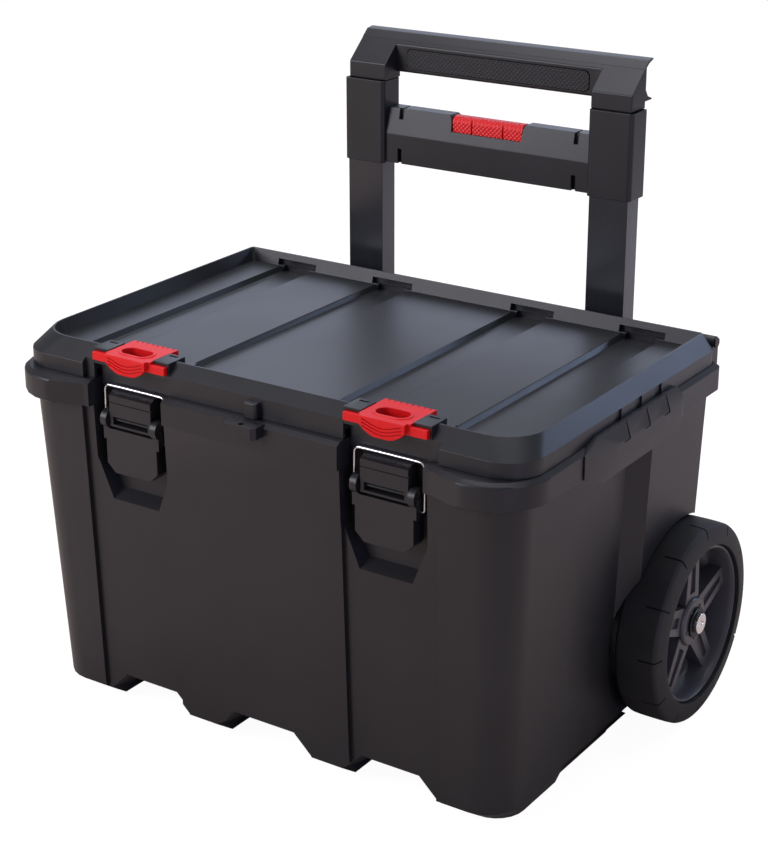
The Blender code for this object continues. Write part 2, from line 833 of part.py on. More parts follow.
def side_panel_cutters(side):
    """The two shallow steps in a side wall, each back to the wheel housing."""
    cutters = []
    for start, depth in ((SIDE_STEP_ONE, SIDE_STEP / 2), (SIDE_STEP_TWO, SIDE_STEP)):
        outline = []
        for z in (FOOT_CHAMFER_TOP, FLANGE_LOW):
            outline.append((side * (TUB_HALF - wall_inset(z) - depth), z))
        for z in (FLANGE_LOW, FOOT_CHAMFER_TOP):
            outline.append((side * (TUB_HALF + OVERRUN), z))
        cutters.append(prism("step", "Y", start, WHEEL_Y, outline))
    rebate_inner = TUB_HALF - wall_inset(0) - REBATE_DEPTH
    rebate_span = (side * rebate_inner, side * (TUB_HALF + OVERRUN))
    cutters.append(box("rebate", rebate_span, (SIDE_STEP_ONE, TUB_REAR + OVERRUN), (-OVERRUN, REBATE_HEIGHT)))
    return cutters


def strip_cutter(side):
    """The shallow drafted strip that runs down the front under a latch."""
    outline = []
    for z in (-OVERRUN, FLANGE_LOW):
        outline.append((TUB_FRONT + wall_inset(z) + PANEL_STEP, z))
    for z in (FLANGE_LOW, -OVERRUN):
        outline.append((TUB_FRONT - OVERRUN, z))
    return prism("strip", "X", side * (LATCH_X - BAY_HALF + STRIP_INSET), side * PANEL_HALF, outline)


def make_tub(plastic):
    """The tub: walls, flange, feet, housings, latch bays and hinge ears in one moulding."""
    tub = loft(
        "tub",
        "Z",
        [
            wall_ring(0, FOOT_CHAMFER_SIDE, FOOT_CHAMFER_FRONT, FOOT_CHAMFER_REAR),
            wall_ring(FOOT_CHAMFER_TOP),
            wall_ring(FLANGE_LOW + SUNK),
        ],
    )
    rear = TUB_REAR + OVERRUN
    notches = [
        notch_cutter(-FOOT_INNER, FOOT_INNER, rear),
        notch_cutter(FOOT_OUTER, FOOT_CORNER, rear),
        notch_cutter(-FOOT_CORNER, -FOOT_OUTER, rear),
    ]
    behind_feet = box("behind", (-TUB_HALF, TUB_HALF), (RUNNER_REAR, rear), (-OVERRUN, UNDERSIDE))
    strips = [strip_cutter(side) for side in SIDES.values()]
    cut(tub, *strips, behind_feet, *notches)
    for side in SIDES.values():
        cut(tub, *side_panel_cutters(side))
    flange = loft(
        "flange",
        "Z",
        [flange_ring(FLANGE_LOW, 0), flange_ring(FLANGE_SHOULDER, 0), flange_ring(RIM_TOP, FLANGE_SLOPE)],
    )
    join(tub, flange, *[wheel_housing(side) for side in SIDES.values()])
    tab_rear = FLANGE_MIDDLE_FRONT + FLANGE_SLOPE + SUNK
    join(tub, front_tab(TAB_HALF, TAB_FRONT, TAB_CHAMFER, TAB_LOW, RIM_TOP - GAP, tab_rear))
    cut(tub, padlock_hole(), tub_cavity())
    for side in SIDES.values():
        cut(tub, bay_cutter(side * LATCH_X), wheel_cylinder(side, WHEEL_RADIUS + ARCH_GAP, ARCH_WALL_X))
        boss_low = side * (ARCH_WALL_X - SUNK)
        boss_high = side * (ARCH_WALL_X + AXLE_BOSS)
        boss = prism("boss", "X", boss_low, boss_high, circle(WHEEL_Y, WHEEL_RADIUS, AXLE_BOSS_RADIUS))
        join(tub, boss, latch_block(side * LATCH_X), hinge_tower(side))
        bore = prism(
            "bore",
            "X",
            side * (ARCH_WALL_X - WALL - OVERRUN),
            side * (ARCH_WALL_X + AXLE_BOSS + OVERRUN),
            circle(WHEEL_Y, WHEEL_RADIUS, AXLE_RADIUS + GAP),
        )
        cut(tub, bore, latch_pin_cutter(side * LATCH_X, LEVER_PIN + LEVER_PIN_GAP, BLOCK_HALF + OVERRUN))
    return finish(tub, "tub", plastic)


def latch_pin_cutter(centre, radius, half):
    """A rod on a lever's axis."""
    return prism("pin", "X", centre - half, centre + half, circle(LEVER_Y, LEVER_Z, radius, ROUND_SIDES // 2))


def lid_ring(z, side_inset, front_inset, rear_inset, front_radius=LID_FRONT_RADIUS):
    """The lid's outline at a height, drawn in by the insets."""
    half = LID_HALF - side_inset
    front = LID_FRONT + front_inset
    rear = LID_REAR - rear_inset
    rear_radius = max(LID_REAR_RADIUS - rear_inset, WALL)
    corners = [
        (-half, front, front_radius),
        (half, front, front_radius),
        (half, rear, rear_radius),
        (-half, rear, rear_radius),
    ]
    return z, rounded(corners)


def lid_pan():
    """The cutter for the flat top inside the lid's raised rim."""
    side = LID_SIDE_SLOPE + CREST_WIDTH
    front = LID_FRONT_SLOPE + CREST_WIDTH
    rear = LID_REAR_SLOPE + CREST_WIDTH
    rise = LID_TOP - PLATEAU_Z
    flare = RIM_INNER_SLOPE * OVERRUN / rise
    slope = RIM_INNER_SLOPE
    return loft(
        "pan",
        "Z",
        [
            lid_ring(PLATEAU_Z, side + slope, front + slope, rear + slope, LID_CREST_RADIUS - slope),
            lid_ring(LID_TOP + OVERRUN, side - flare, front - flare, rear - flare, LID_CREST_RADIUS),
        ],
    )


def lid_valleys():
    """The cutters for the four shallow channels that run from front to back."""
    floor = PLATEAU_Z - VALLEY_DEPTH
    front = LID_FRONT + LID_FRONT_SLOPE + CREST_WIDTH + RIM_INNER_SLOPE
    rear = LID_REAR - LID_REAR_SLOPE - CREST_WIDTH - RIM_INNER_SLOPE
    cutters = []
    for side in SIDES.values():
        for index in range(2):
            inner = VALLEY_INNER + index * VALLEY_PITCH
            outer = inner + VALLEY_WIDTH
            outline = [
                (side * (inner + VALLEY_FLANK), floor),
                (side * (outer - VALLEY_FLANK), floor),
                (side * (outer + VALLEY_FLANK), PLATEAU_Z + VALLEY_DEPTH),
                (side * (inner - VALLEY_FLANK), PLATEAU_Z + VALLEY_DEPTH),
            ]
            cutters.append(prism("valley", "Y", front + CREST_WIDTH, rear - CREST_WIDTH, outline))
            slot_span = (side * (inner + HOOK_SLOT_INSET), side * (outer - HOOK_SLOT_INSET))
            slot_rear = rear + RIM_INNER_SLOPE / 2 + HOOK_SLOT_DEPTH
            cutters.append(
                box("hook", slot_span, (rear - SUNK - CREST_WIDTH, slot_rear), (floor, PLATEAU_Z + VALLEY_DEPTH)),
            )
    return cutters


def mouth_outline(inset):
    """The outline of the tub's mouth, drawn in by the inset."""
    half = TUB_HALF - WALL - SIDE_STEP - inset
    front = TUB_FRONT + FRONT_BEAM_DEPTH + inset
    rear = TUB_REAR - REAR_BEAM_DEPTH - inset
    front_radius = TUB_FRONT_RADIUS - WALL - SIDE_STEP - inset
    rear_radius = TUB_REAR_RADIUS - WALL - inset
    corners = [
        (-half, front, front_radius),
        (half, front, front_radius),
        (half, rear, rear_radius),
        (-half, rear, rear_radius),
    ]
    return rounded(corners)


def make_lid(plastic, carrier):
    """The lid: rim, ribbed top, plug, hinge knuckles, catch walls and lock beds in one moulding."""
    lid = loft(
        "lid",
        "Z",
        [
            lid_ring(RIM_TOP + GAP, 0, 0, 0),
            lid_ring(LID_BAND_TOP, 0, 0, 0),
            lid_ring(LID_TOP, LID_SIDE_SLOPE, LID_FRONT_SLOPE, LID_REAR_SLOPE, LID_CREST_RADIUS),
        ],
    )
    setback = box(
        "setback",
        (-PANEL_HALF, PANEL_HALF),
        (LID_FRONT - OVERRUN, LID_MIDDLE_FRONT),
        (RIM_TOP - OVERRUN, LID_BAND_TOP + LID_MIDDLE_FRONT - LID_FRONT),
    )
    hollow = loft(
        "hollow",
        "Z",
        [
            lid_ring(RIM_TOP - OVERRUN, WALL, LID_FRONT_WALL, WALL, LID_FRONT_RADIUS - WALL),
            lid_ring(LID_UNDERSIDE, WALL, LID_FRONT_WALL, WALL, LID_FRONT_RADIUS - WALL),
        ],
    )
    cut(lid, setback, hollow, lid_pan(), *lid_valleys())
    lid_tab_rear = LID_MIDDLE_FRONT + SUNK
    join(
        lid, front_tab(LID_TAB_HALF, LID_TAB_FRONT, LID_TAB_CHAMFER, RIM_TOP + GAP, LID_TAB_TOP, lid_tab_rear)
    )
    outer = mouth_outline(PLUG_GAP)
    inner = mouth_outline(PLUG_GAP + WALL)
    plug = cut(
        prism("plug", "Z", PLUG_LOW, LID_UNDERSIDE + SUNK, outer),
        prism("inner", "Z", PLUG_LOW - OVERRUN, LID_UNDERSIDE + OVERRUN, inner),
    )
    join(lid, plug)
    for side in SIDES.values():
        add_lock_bed(lid, side * LATCH_X)
        add_knuckle(lid, side * HINGE_X)
        cut(lid, *side_pockets(side))
    return finish(lid, "lid", plastic, carrier)


def side_pockets(side):
    """The cutters for the three small pockets in the lid's edge above a side grip's slots."""
    x_span = (side * (LID_HALF - LID_POCKET_DEPTH), side * (LID_HALF + OVERRUN))
    cutters = []
    for index in range(GRIP_SLOTS):
        y = GRIP_SLOT_FIRST + index * GRIP_SLOT_PITCH
        y_span = (y - LID_POCKET + GRIP_SLOT_WIDTH, y + GRIP_SLOT_WIDTH)
        cutters.append(box("pocket", x_span, y_span, (RIM_TOP - OVERRUN, LID_POCKET_TOP)))
    return cutters


def add_lock_bed(lid, centre):
    """Opens the lid's front over a latch and adds the wall behind the wire and the bed under the lock."""
    bay_span = (centre - LOCK_BAY_HALF, centre + LOCK_BAY_HALF)
    front = LID_FRONT - OVERRUN
    cut(lid, box("bay", bay_span, (front, CATCH_FRONT + SUNK), (RIM_TOP - OVERRUN, LOCK_BED)))
    catch = box(
        "catch",
        (centre - CATCH_HALF, centre + CATCH_HALF),
        (CATCH_FRONT, CATCH_FRONT + CATCH_WALL),
        (BLOCK_TOP + CATCH_RISE, LOCK_BED - SUNK),
    )
    bed = box("bed", bay_span, (LOCK_BED_FRONT, LOCK_BED_REAR), (LOCK_BED - LOCK_BED_THICKNESS, LOCK_BED))
    join(lid, catch, bed)
    recess = box("recess", bay_span, (front, LOCK_BED_REAR), (LOCK_BED, LID_TOP + OVERRUN))
    cut(lid, recess)


def add_knuckle(lid, centre):
    """Adds one hinge knuckle behind the lid's rear band."""
    half = KNUCKLE_WIDTH / 2
    eye = prism("eye", "X", centre - half, centre + half, circle(HINGE_Y, HINGE_Z, HINGE_EYE))
    web = box(
        "web",
        (centre - half, centre + half),
        (LID_REAR - LID_REAR_SLOPE, HINGE_Y),
        (HINGE_Z - HINGE_EYE, HINGE_Z + HINGE_EYE / 2),
    )
    join(lid, join(eye, web))
    cut(lid, pin_hole(centre, half))


def make_seal(rubber, carrier):
    """The soft ring between the lid's underside and the tub's rim."""
    inner = mouth_outline(PLUG_GAP - GAP)
    outer = mouth_outline(PLUG_GAP - GAP - SEAL_WIDTH)
    low = RIM_TOP + GAP
    seal = cut(
        prism("seal", "Z", low, LID_UNDERSIDE - GAP, outer),
        prism("inner", "Z", low - OVERRUN, LID_UNDERSIDE + OVERRUN, inner),
    )
    return finish(seal, "lid_seal", rubber, carrier)


def make_lock(name, centre, red, carrier):
    """A sliding lock: top plate with finger pocket, two wings and a nose over the lid's front."""
    low = LOCK_BED + GAP
    tooth = LOCK_HALF / LOCK_TEETH
    rear_edge = []
    for index in range(2 * LOCK_TEETH + 1):
        inset = LOCK_TOOTH if index % 2 else 0
        rear_edge.append((centre + LOCK_HALF - index * tooth, LOCK_REAR - inset))
    plate_outline = [(centre - LOCK_HALF, LOCK_FRONT), (centre + LOCK_HALF, LOCK_FRONT), *rear_edge]
    plate = prism("plate", "Z", low, LID_TOP, plate_outline)
    wings = box(
        "wings",
        (centre - LOCK_WING_HALF, centre + LOCK_WING_HALF),
        (LOCK_FRONT, LOCK_WING_REAR),
        (low, LOCK_WING_TOP),
    )
    nose_outline = [
        (centre - LOCK_NOSE_HALF, LID_TOP),
        (centre - LOCK_NOSE_HALF, low),
        (centre - LOCK_NOSE_LOW_HALF, LOCK_NOSE_LOW),
        (centre + LOCK_NOSE_LOW_HALF, LOCK_NOSE_LOW),
        (centre + LOCK_NOSE_HALF, low),
        (centre + LOCK_NOSE_HALF, LID_TOP),
    ]
    nose = prism("nose", "Y", LOCK_NOSE_FRONT, LOCK_NOSE_REAR, nose_outline)
    join(plate, wings, nose)
    middle = (LOCK_POCKET_FRONT + LOCK_POCKET_REAR) / 2
    pocket_outline = [
        (centre - LOCK_POCKET_HALF, middle),
        (centre - LOCK_POCKET_HALF + LOCK_POCKET_TIP, LOCK_POCKET_FRONT),
        (centre + LOCK_POCKET_HALF - LOCK_POCKET_TIP, LOCK_POCKET_FRONT),
        (centre + LOCK_POCKET_HALF, middle),
        (centre + LOCK_POCKET_HALF - LOCK_POCKET_TIP, LOCK_POCKET_REAR),
        (centre - LOCK_POCKET_HALF + LOCK_POCKET_TIP, LOCK_POCKET_REAR),
    ]
    bed_gap_outline = rectangle(
        centre - LOCK_NOSE_HALF - SUNK,
        centre + LOCK_NOSE_HALF + SUNK,
        LOCK_BED_FRONT - GAP,
        LOCK_NOSE_REAR + OVERRUN,
    )
    pocket = prism("pocket", "Z", low - OVERRUN, LID_TOP + OVERRUN, pocket_outline)
    under_nose = prism("under", "Z", LOCK_NOSE_LOW - OVERRUN, low, bed_gap_outline)
    cut(plate, pocket, under_nose)
    return finish(plate, name, red, carrier)


def make_lock_cover(name, centre, toward, plastic, carrier):
    """The cap over one wing of a lock, open at the front for the wing."""
    inner = centre + toward * (LOCK_HALF + GAP)
    outer = centre + toward * LOCK_BAY_HALF
    cap = box("cap", (inner, outer), (LOCK_BED_FRONT, LOCK_COVER_REAR), (LOCK_BED + GAP, LOCK_COVER_TOP))
    reach = centre + toward * (LOCK_WING_HALF + GAP)
    room = box(
        "room",
        (inner - toward * OVERRUN, reach),
        (LOCK_BED_FRONT - OVERRUN, LOCK_WING_REAR + GAP),
        (LOCK_BED - OVERRUN, LOCK_WING_TOP + GAP),
    )
    cut(cap, room)
    return finish(cap, name, plastic, carrier)


def make_lever(name, centre, plastic, carrier):
    """A latch lever: a hollow flap with an ear on each side."""
    flap_outline = []
    for toward in (-1, 1):
        half_outline = [
            (centre + toward * FLAP_HALF_TOP, FLAP_TOP),
            (centre + toward * FLAP_HALF, FLAP_WIDEST),
            (centre + toward * FLAP_HALF, FLAP_CORNER),
            (centre + toward * FLAP_LOW_HALF, FLAP_LOW),
        ]
        flap_outline += half_outline if toward < 0 else half_outline[::-1]
    lever = prism("flap", "Y", BLOCK_FRONT, FLAP_REAR, flap_outline)
    for toward in (-1, 1):
        ear = prism(
            "ear",
            "X",
            centre + toward * EAR_INNER,
            centre + toward * EAR_OUTER,
            circle(LEVER_Y, LEVER_Z, EAR_RADIUS),
        )
        arm = prism(
            "arm",
            "X",
            centre + toward * EAR_INNER,
            centre + toward * EAR_OUTER,
            [
                (LEVER_Y - EAR_RADIUS / 2, LEVER_Z),
                (LEVER_Y + EAR_RADIUS, LEVER_Z),
                (FLAP_REAR, FLAP_WIDEST),
                (BLOCK_FRONT, FLAP_WIDEST),
            ],
        )
        join(lever, join(ear, arm))
    inner_half = FLAP_HALF_TOP - FLAP_CHEEK
    hollow = box(
        "hollow",
        (centre - inner_half, centre + inner_half),
        (BLOCK_FRONT + FLAP_PLATE, FLAP_REAR + OVERRUN),
        (FLAP_CORNER, FLAP_TOP + OVERRUN),
    )
    bore = latch_pin_cutter(centre, LEVER_PIN + LEVER_PIN_GAP, EAR_OUTER + OVERRUN)
    bail_half = EAR_OUTER + OVERRUN
    bail_outline = circle(BAIL_Y, BAIL_Z, BAIL_RADIUS + GAP, ROUND_SIDES // 2)
    bail_bore = prism("bail_bore", "X", centre - bail_half, centre + bail_half, bail_outline)
    cut(lever, hollow, bore, bail_bore)
    return finish(lever, name, plastic, carrier)


def make_bail(name, centre, steel, carrier):
    """The wire bail: two legs, a top bar and two ends bent into the lever."""
    half_path = [(BAIL_TIP, BAIL_Z)]
    foot = (BAIL_Z + BAIL_FOOT_BEND, BAIL_FOOT_BEND, -math.pi / 2)
    top = (BAIL_TOP - BAIL_BEND, BAIL_BEND, 0)
    for bend_z, radius, start in (foot, top):
        for step in range(BAIL_STEPS + 1):
            angle = start + math.pi / 2 * step / BAIL_STEPS
            x = BAIL_HALF - radius + radius * math.cos(angle)
            half_path.append((x, bend_z + radius * math.sin(angle)))
    path = [(centre + x, BAIL_Y, z) for x, z in half_path]
    path += [(centre - x, BAIL_Y, z) for x, z in reversed(half_path)]
    return finish(tube("bail", path, BAIL_RADIUS, BAIL_SIDES), name, steel, carrier)


def make_side_grip(name, side, plastic):
    """The finger grip on one side: a lug on the flange with a slanting top and a lip that hangs below it."""
    flange_face = FLANGE_HALF + GAP
    lip_x = GRIP_FACE_X - GRIP_LIP_LEAN
    profile = [
        (side * (LID_HALF + GAP), GRIP_TOP),
        (side * GRIP_TOP_X, GRIP_TOP),
        (side * GRIP_FACE_X, GRIP_FACE_TOP),
        (side * GRIP_FACE_X, GRIP_FACE_LOW),
        (side * lip_x, GRIP_LOW),
        (side * (lip_x - GRIP_LIP), GRIP_LOW),
        (side * flange_face, GRIP_LIP_ROOT),
        (side * flange_face, FLANGE_SHOULDER + GAP),
        (side * (LID_HALF + GAP), RIM_TOP + GAP + GAP),
    ]
    grip = prism("grip", "Y", GRIP_FRONT_Y - OVERRUN, GRIP_REAR_Y + OVERRUN, profile)
    chamfer = GRIP_END_CHAMFER
    side_view = [
        (GRIP_FRONT_Y, FLANGE_LOW),
        (GRIP_FRONT_Y + GRIP_FRONT_RISE, GRIP_LOW - SUNK),
        (GRIP_REAR_Y - chamfer, GRIP_LOW - SUNK),
        (GRIP_REAR_Y, GRIP_FACE_LOW - SUNK),
        (GRIP_REAR_Y, GRIP_FACE_TOP + SUNK),
        (GRIP_REAR_Y - chamfer, GRIP_TOP + SUNK),
        (GRIP_FRONT_Y + GRIP_FRONT_RISE, GRIP_TOP + SUNK),
        (GRIP_FRONT_Y, FLANGE_SHOULDER),
    ]
    inner = side * (TUB_HALF - OVERRUN)
    keep_inside(grip, prism("ends", "X", inner, side * (GRIP_FACE_X + OVERRUN), side_view))
    end_x = side * (flange_face + GRIP_EDGE)
    outer = side * (GRIP_FACE_X + SUNK)
    top_view = [
        (inner, GRIP_FRONT_Y - OVERRUN),
        (end_x, GRIP_FRONT_Y - OVERRUN),
        (outer, GRIP_FRONT_Y + GRIP_FRONT_TAPER),
        (outer, GRIP_REAR_Y - GRIP_REAR_TAPER),
        (end_x, GRIP_REAR_Y + OVERRUN),
        (inner, GRIP_REAR_Y + OVERRUN),
    ]
    keep_inside(grip, prism("taper", "Z", GRIP_LOW - OVERRUN, GRIP_TOP + OVERRUN, top_view))
    bed = [
        (side * (GRIP_FACE_X - GRIP_SLOT_DEPTH), GRIP_SLOT_LOW),
        (side * (GRIP_FACE_X - GRIP_SLOT_DEPTH), GRIP_FACE_TOP),
        (side * (GRIP_TOP_X - GRIP_SLOT_DEPTH), GRIP_TOP + SUNK),
        (side * (GRIP_FACE_X + OVERRUN), GRIP_TOP + SUNK),
        (side * (GRIP_FACE_X + OVERRUN), GRIP_SLOT_LOW),
    ]
    foot_span = (side * (GRIP_FACE_X - GRIP_SLOT_DEPTH), side * (GRIP_FACE_X + OVERRUN))
    cutters = []
    for index in range(GRIP_SLOTS):
        y = GRIP_SLOT_FIRST + index * GRIP_SLOT_PITCH
        cutters.append(prism("slot", "Y", y, y + GRIP_SLOT_WIDTH, bed))
        foot_top = GRIP_SLOT_LOW + GRIP_SLOT_WIDTH
        cutters.append(box("foot", foot_span, (y - GRIP_SLOT_FOOT, y + SUNK), (GRIP_SLOT_LOW, foot_top)))
    return finish(cut(grip, *cutters), name, plastic)


def make_hinge_pin(name, side, steel):
    """A headed pin through one hinge."""
    half = KNUCKLE_WIDTH / 2 + EAR_GAP + EAR_WIDTH
    centre = side * HINGE_X
    reach = half + HINGE_PIN_HEAD
    pin = prism(
        "pin", "X", centre - reach, centre + reach, circle(HINGE_Y, HINGE_Z, HINGE_PIN, ROUND_SIDES // 2)
    )
    heads = []
    for toward in (-1, 1):
        low = centre + toward * (half + GAP)
        heads.append(
            prism("head", "X", low, centre + toward * (reach + GAP), circle(HINGE_Y, HINGE_Z, HINGE_PIN * 2))
        )
    return finish(join(pin, *heads), name, steel)


def make_tyre(name, side, rubber, carrier):
    """The tyre, with a flat tread, small shoulders and slightly slanting cheeks."""
    shoulder = TYRE_SHOULDER
    half_profile = [
        (0, TYRE_BORE),
        (0, WHEEL_RADIUS - TYRE_CHEEK),
        (shoulder - SUNK, WHEEL_RADIUS - TYRE_SHOULDER_DROP),
        (shoulder + SUNK, WHEEL_RADIUS),
    ]
    profile = [(TYRE_INNER_X + step, radius) for step, radius in half_profile]
    profile += [(TYRE_OUTER_X - step, radius) for step, radius in reversed(half_profile)]
    return finish(turned("tyre", side, profile), name, rubber, carrier)


def make_hub(name, side, plastic, carrier):
    """The wheel's centre: a rim, a hub and the spokes between them."""
    rim_low = TYRE_INNER_X + RIM_INSET
    rim_high = TYRE_OUTER_X - RIM_INSET
    rim_radius = TYRE_BORE - GAP
    rim = [
        (rim_low, rim_radius - RIM_WALL),
        (rim_low, rim_radius),
        (rim_high, rim_radius),
        (rim_high, rim_radius - RIM_WALL),
    ]
    bore = BUSH_RADIUS + GAP
    core = [(TYRE_INNER_X, bore), (TYRE_INNER_X, HUB_RADIUS), (HUB_OUTER_X, HUB_RADIUS), (HUB_OUTER_X, bore)]
    hub = turned("rim", side, rim)
    root = HUB_RADIUS - SUNK
    tip = rim_radius - SUNK
    spokes = [turned("core", side, core)]
    for index in range(SPOKES):
        angle = math.tau * index / SPOKES + math.pi / 2
        along = Vector((math.cos(angle), math.sin(angle)))
        across = Vector((-along.y, along.x))
        centre = Vector((WHEEL_Y, WHEEL_RADIUS))
        corners = (
            centre + along * root - across * SPOKE_ROOT / 2,
            centre + along * tip - across * SPOKE_TIP / 2,
            centre + along * tip + across * SPOKE_TIP / 2,
            centre + along * root + across * SPOKE_ROOT / 2,
        )
        outline = [tuple(corner) for corner in corners]
        spokes.append(prism("spoke", "X", side * SPOKE_INNER_X, side * SPOKE_OUTER_X, outline))
    return finish(join(hub, *spokes), name, plastic, carrier)


def make_bush(name, side, plastic, carrier):
    """The bearing bush between hub and axle."""
    bore = AXLE_RADIUS + GAP
    outer_x = HUB_OUTER_X + GAP
    profile = [(TYRE_INNER_X, bore), (TYRE_INNER_X, BUSH_RADIUS), (outer_x, BUSH_RADIUS), (outer_x, bore)]
    return finish(turned("bush", side, profile, ROUND_SIDES), name, plastic, carrier)


def make_axle(name, side, steel):
    """The stub axle, whose plate bears on the inside of the tub's wall."""
    plate_outer = ARCH_WALL_X - WALL - GAP
    end = HUB_OUTER_X + GAP + GAP
    plate_circle = circle(WHEEL_Y, WHEEL_RADIUS, AXLE_PLATE_RADIUS)
    axle = prism("plate", "X", side * (plate_outer - AXLE_PLATE), side * plate_outer, plate_circle)
    stub = prism(
        "stub", "X", side * (plate_outer - SUNK), side * end, circle(WHEEL_Y, WHEEL_RADIUS, AXLE_RADIUS)
    )
    join(axle, stub)
    bore_circle = circle(WHEEL_Y, WHEEL_RADIUS, SCREW_RADIUS + GAP)
    bore = prism("bore", "X", side * (end - SCREW_LENGTH - OVERRUN), side * (end + OVERRUN), bore_circle)
    return finish(cut(axle, bore), name, steel)


def washer_start():
    """Where a wheel's washer begins, just past the axle's end."""
    return HUB_OUTER_X + GAP + GAP + GAP


def make_washer(name, side, steel):
    """The washer that keeps the wheel on."""
    bore = SCREW_RADIUS + GAP
    low = washer_start()
    high = low + WASHER
    profile = [(low, bore), (low, WASHER_RADIUS), (high, WASHER_RADIUS), (high, bore)]
    return finish(turned("washer", side, profile, ROUND_SIDES), name, steel)


def make_axle_screw(name, side, steel):
    """The cross-head screw in the axle's end."""
    low = washer_start() + WASHER + GAP
    high = low + SCREW_HEAD
    head = prism("head", "X", side * low, side * high, circle(WHEEL_Y, WHEEL_RADIUS, SCREW_HEAD_RADIUS))
    shank_circle = circle(WHEEL_Y, WHEEL_RADIUS, SCREW_RADIUS)
    join(head, prism("shank", "X", side * (HUB_OUTER_X - SCREW_LENGTH), side * (low + SUNK), shank_circle))
    half = SCREW_SLOT / 2
    long = SCREW_HEAD_RADIUS / 2
    x_span = (side * (high - SCREW_SLOT_DEPTH), side * (high + OVERRUN))
    across = box("slot", x_span, (WHEEL_Y - long, WHEEL_Y + long), (WHEEL_RADIUS - half, WHEEL_RADIUS + half))
    upright = box(
        "slot", x_span, (WHEEL_Y - half, WHEEL_Y + half), (WHEEL_RADIUS - long, WHEEL_RADIUS + long)
    )
    return finish(cut(head, across, upright), name, steel)


def post_outline(centre, grow):
    """The post's rectangle, grown or shrunk all round."""
    half = POST_WIDTH / 2 + grow
    return rectangle(centre - half, centre + half, POST_FRONT - grow, POST_FRONT + POST_DEPTH + grow)


def make_guide(name, side, plastic):
    """The channel on the tub's back that one post slides in."""
    centre = side * POST_X
    half = POST_WIDTH / 2 + GAP + GUIDE_WALL
    rear = POST_FRONT + POST_DEPTH + GAP + GUIDE_REAR_WALL
    shelf_front = FLANGE_REAR + GAP
    outline = [
        (TUB_REAR - wall_inset(GUIDE_LOW) + GAP, GUIDE_LOW),
        (rear - GUIDE_BEVEL, GUIDE_LOW),
        (rear, GUIDE_LOW + GUIDE_BEVEL),
        (rear, GUIDE_TOP),
        (shelf_front, GUIDE_TOP),
        (shelf_front, GUIDE_SHELF),
        (TUB_REAR - wall_inset(GUIDE_SHELF) + GAP, GUIDE_SHELF),
    ]
    guide = prism("guide", "X", centre - half, centre + half, outline)
    floor = GUIDE_LOW + GUIDE_BEVEL + GUIDE_FLOOR
    channel = prism("channel", "Z", floor, GUIDE_TOP + OVERRUN, post_outline(centre, GAP))
    drain_centre = POST_FRONT + POST_DEPTH / 2
    drain = prism(
        "drain", "Z", GUIDE_LOW - OVERRUN, floor + OVERRUN, circle(centre, drain_centre, GUIDE_DRAIN / 2)
    )
    return finish(cut(guide, channel, drain), name, plastic)


def make_guide_bush(name, side, plastic):
    """The collar on top of a guide."""
    centre = side * POST_X
    outer = post_outline(centre, GAP + GUIDE_REAR_WALL)
    low = GUIDE_TOP + GAP
    collar = prism("collar", "Z", low, low + BUSH_COLLAR, outer)
    opening = prism("opening", "Z", low - OVERRUN, low + BUSH_COLLAR + OVERRUN, post_outline(centre, GAP))
    return finish(cut(collar, opening), name, plastic)


def bolt_hole(side, radius, low, high):
    """A rod along the lock bolts' line."""
    y = POST_FRONT + POST_DEPTH / 2
    return prism("bolt", "X", side * low, side * high, circle(y, BOLT_Z, radius, ROUND_SIDES // 2))


def make_post(name, side, metal, carrier):
    """One outer post: a rectangular tube."""
    centre = side * POST_X
    post = prism("post", "Z", POST_LOW, POST_TOP, post_outline(centre, 0))
    bore = prism("bore", "Z", POST_LOW - OVERRUN, POST_TOP + OVERRUN, post_outline(centre, -POST_WALL))
    inner_face = POST_X - POST_WIDTH / 2
    hole = bolt_hole(side, BOLT_RADIUS + GAP, inner_face - OVERRUN, inner_face + POST_WALL + SUNK)
    return finish(cut(post, bore, hole), name, metal, carrier)


def tube_outline(centre, grow):
    """The inner tube's rectangle, grown or shrunk all round."""
    half = TUBE_WIDTH / 2 + grow
    middle = POST_FRONT + POST_DEPTH / 2
    depth = TUBE_DEPTH / 2 + grow
    return rectangle(centre - half, centre + half, middle - depth, middle + depth)


def make_post_bush(name, side, plastic, carrier):
    """The flanged bush in a post's top that the inner tube slides in."""
    centre = side * POST_X
    bush = prism(
        "bush", "Z", POST_TOP - POST_BUSH_LENGTH, POST_TOP + SUNK, post_outline(centre, -POST_WALL - GAP)
    )
    flange_low = POST_TOP + GAP
    flange = prism("flange", "Z", flange_low, flange_low + POST_BUSH_FLANGE, post_outline(centre, 0))
    join(bush, flange)
    low = POST_TOP - POST_BUSH_LENGTH - OVERRUN
    opening = prism("opening", "Z", low, flange_low + POST_BUSH_FLANGE + OVERRUN, tube_outline(centre, GAP))
    return finish(cut(bush, opening), name, plastic, carrier)


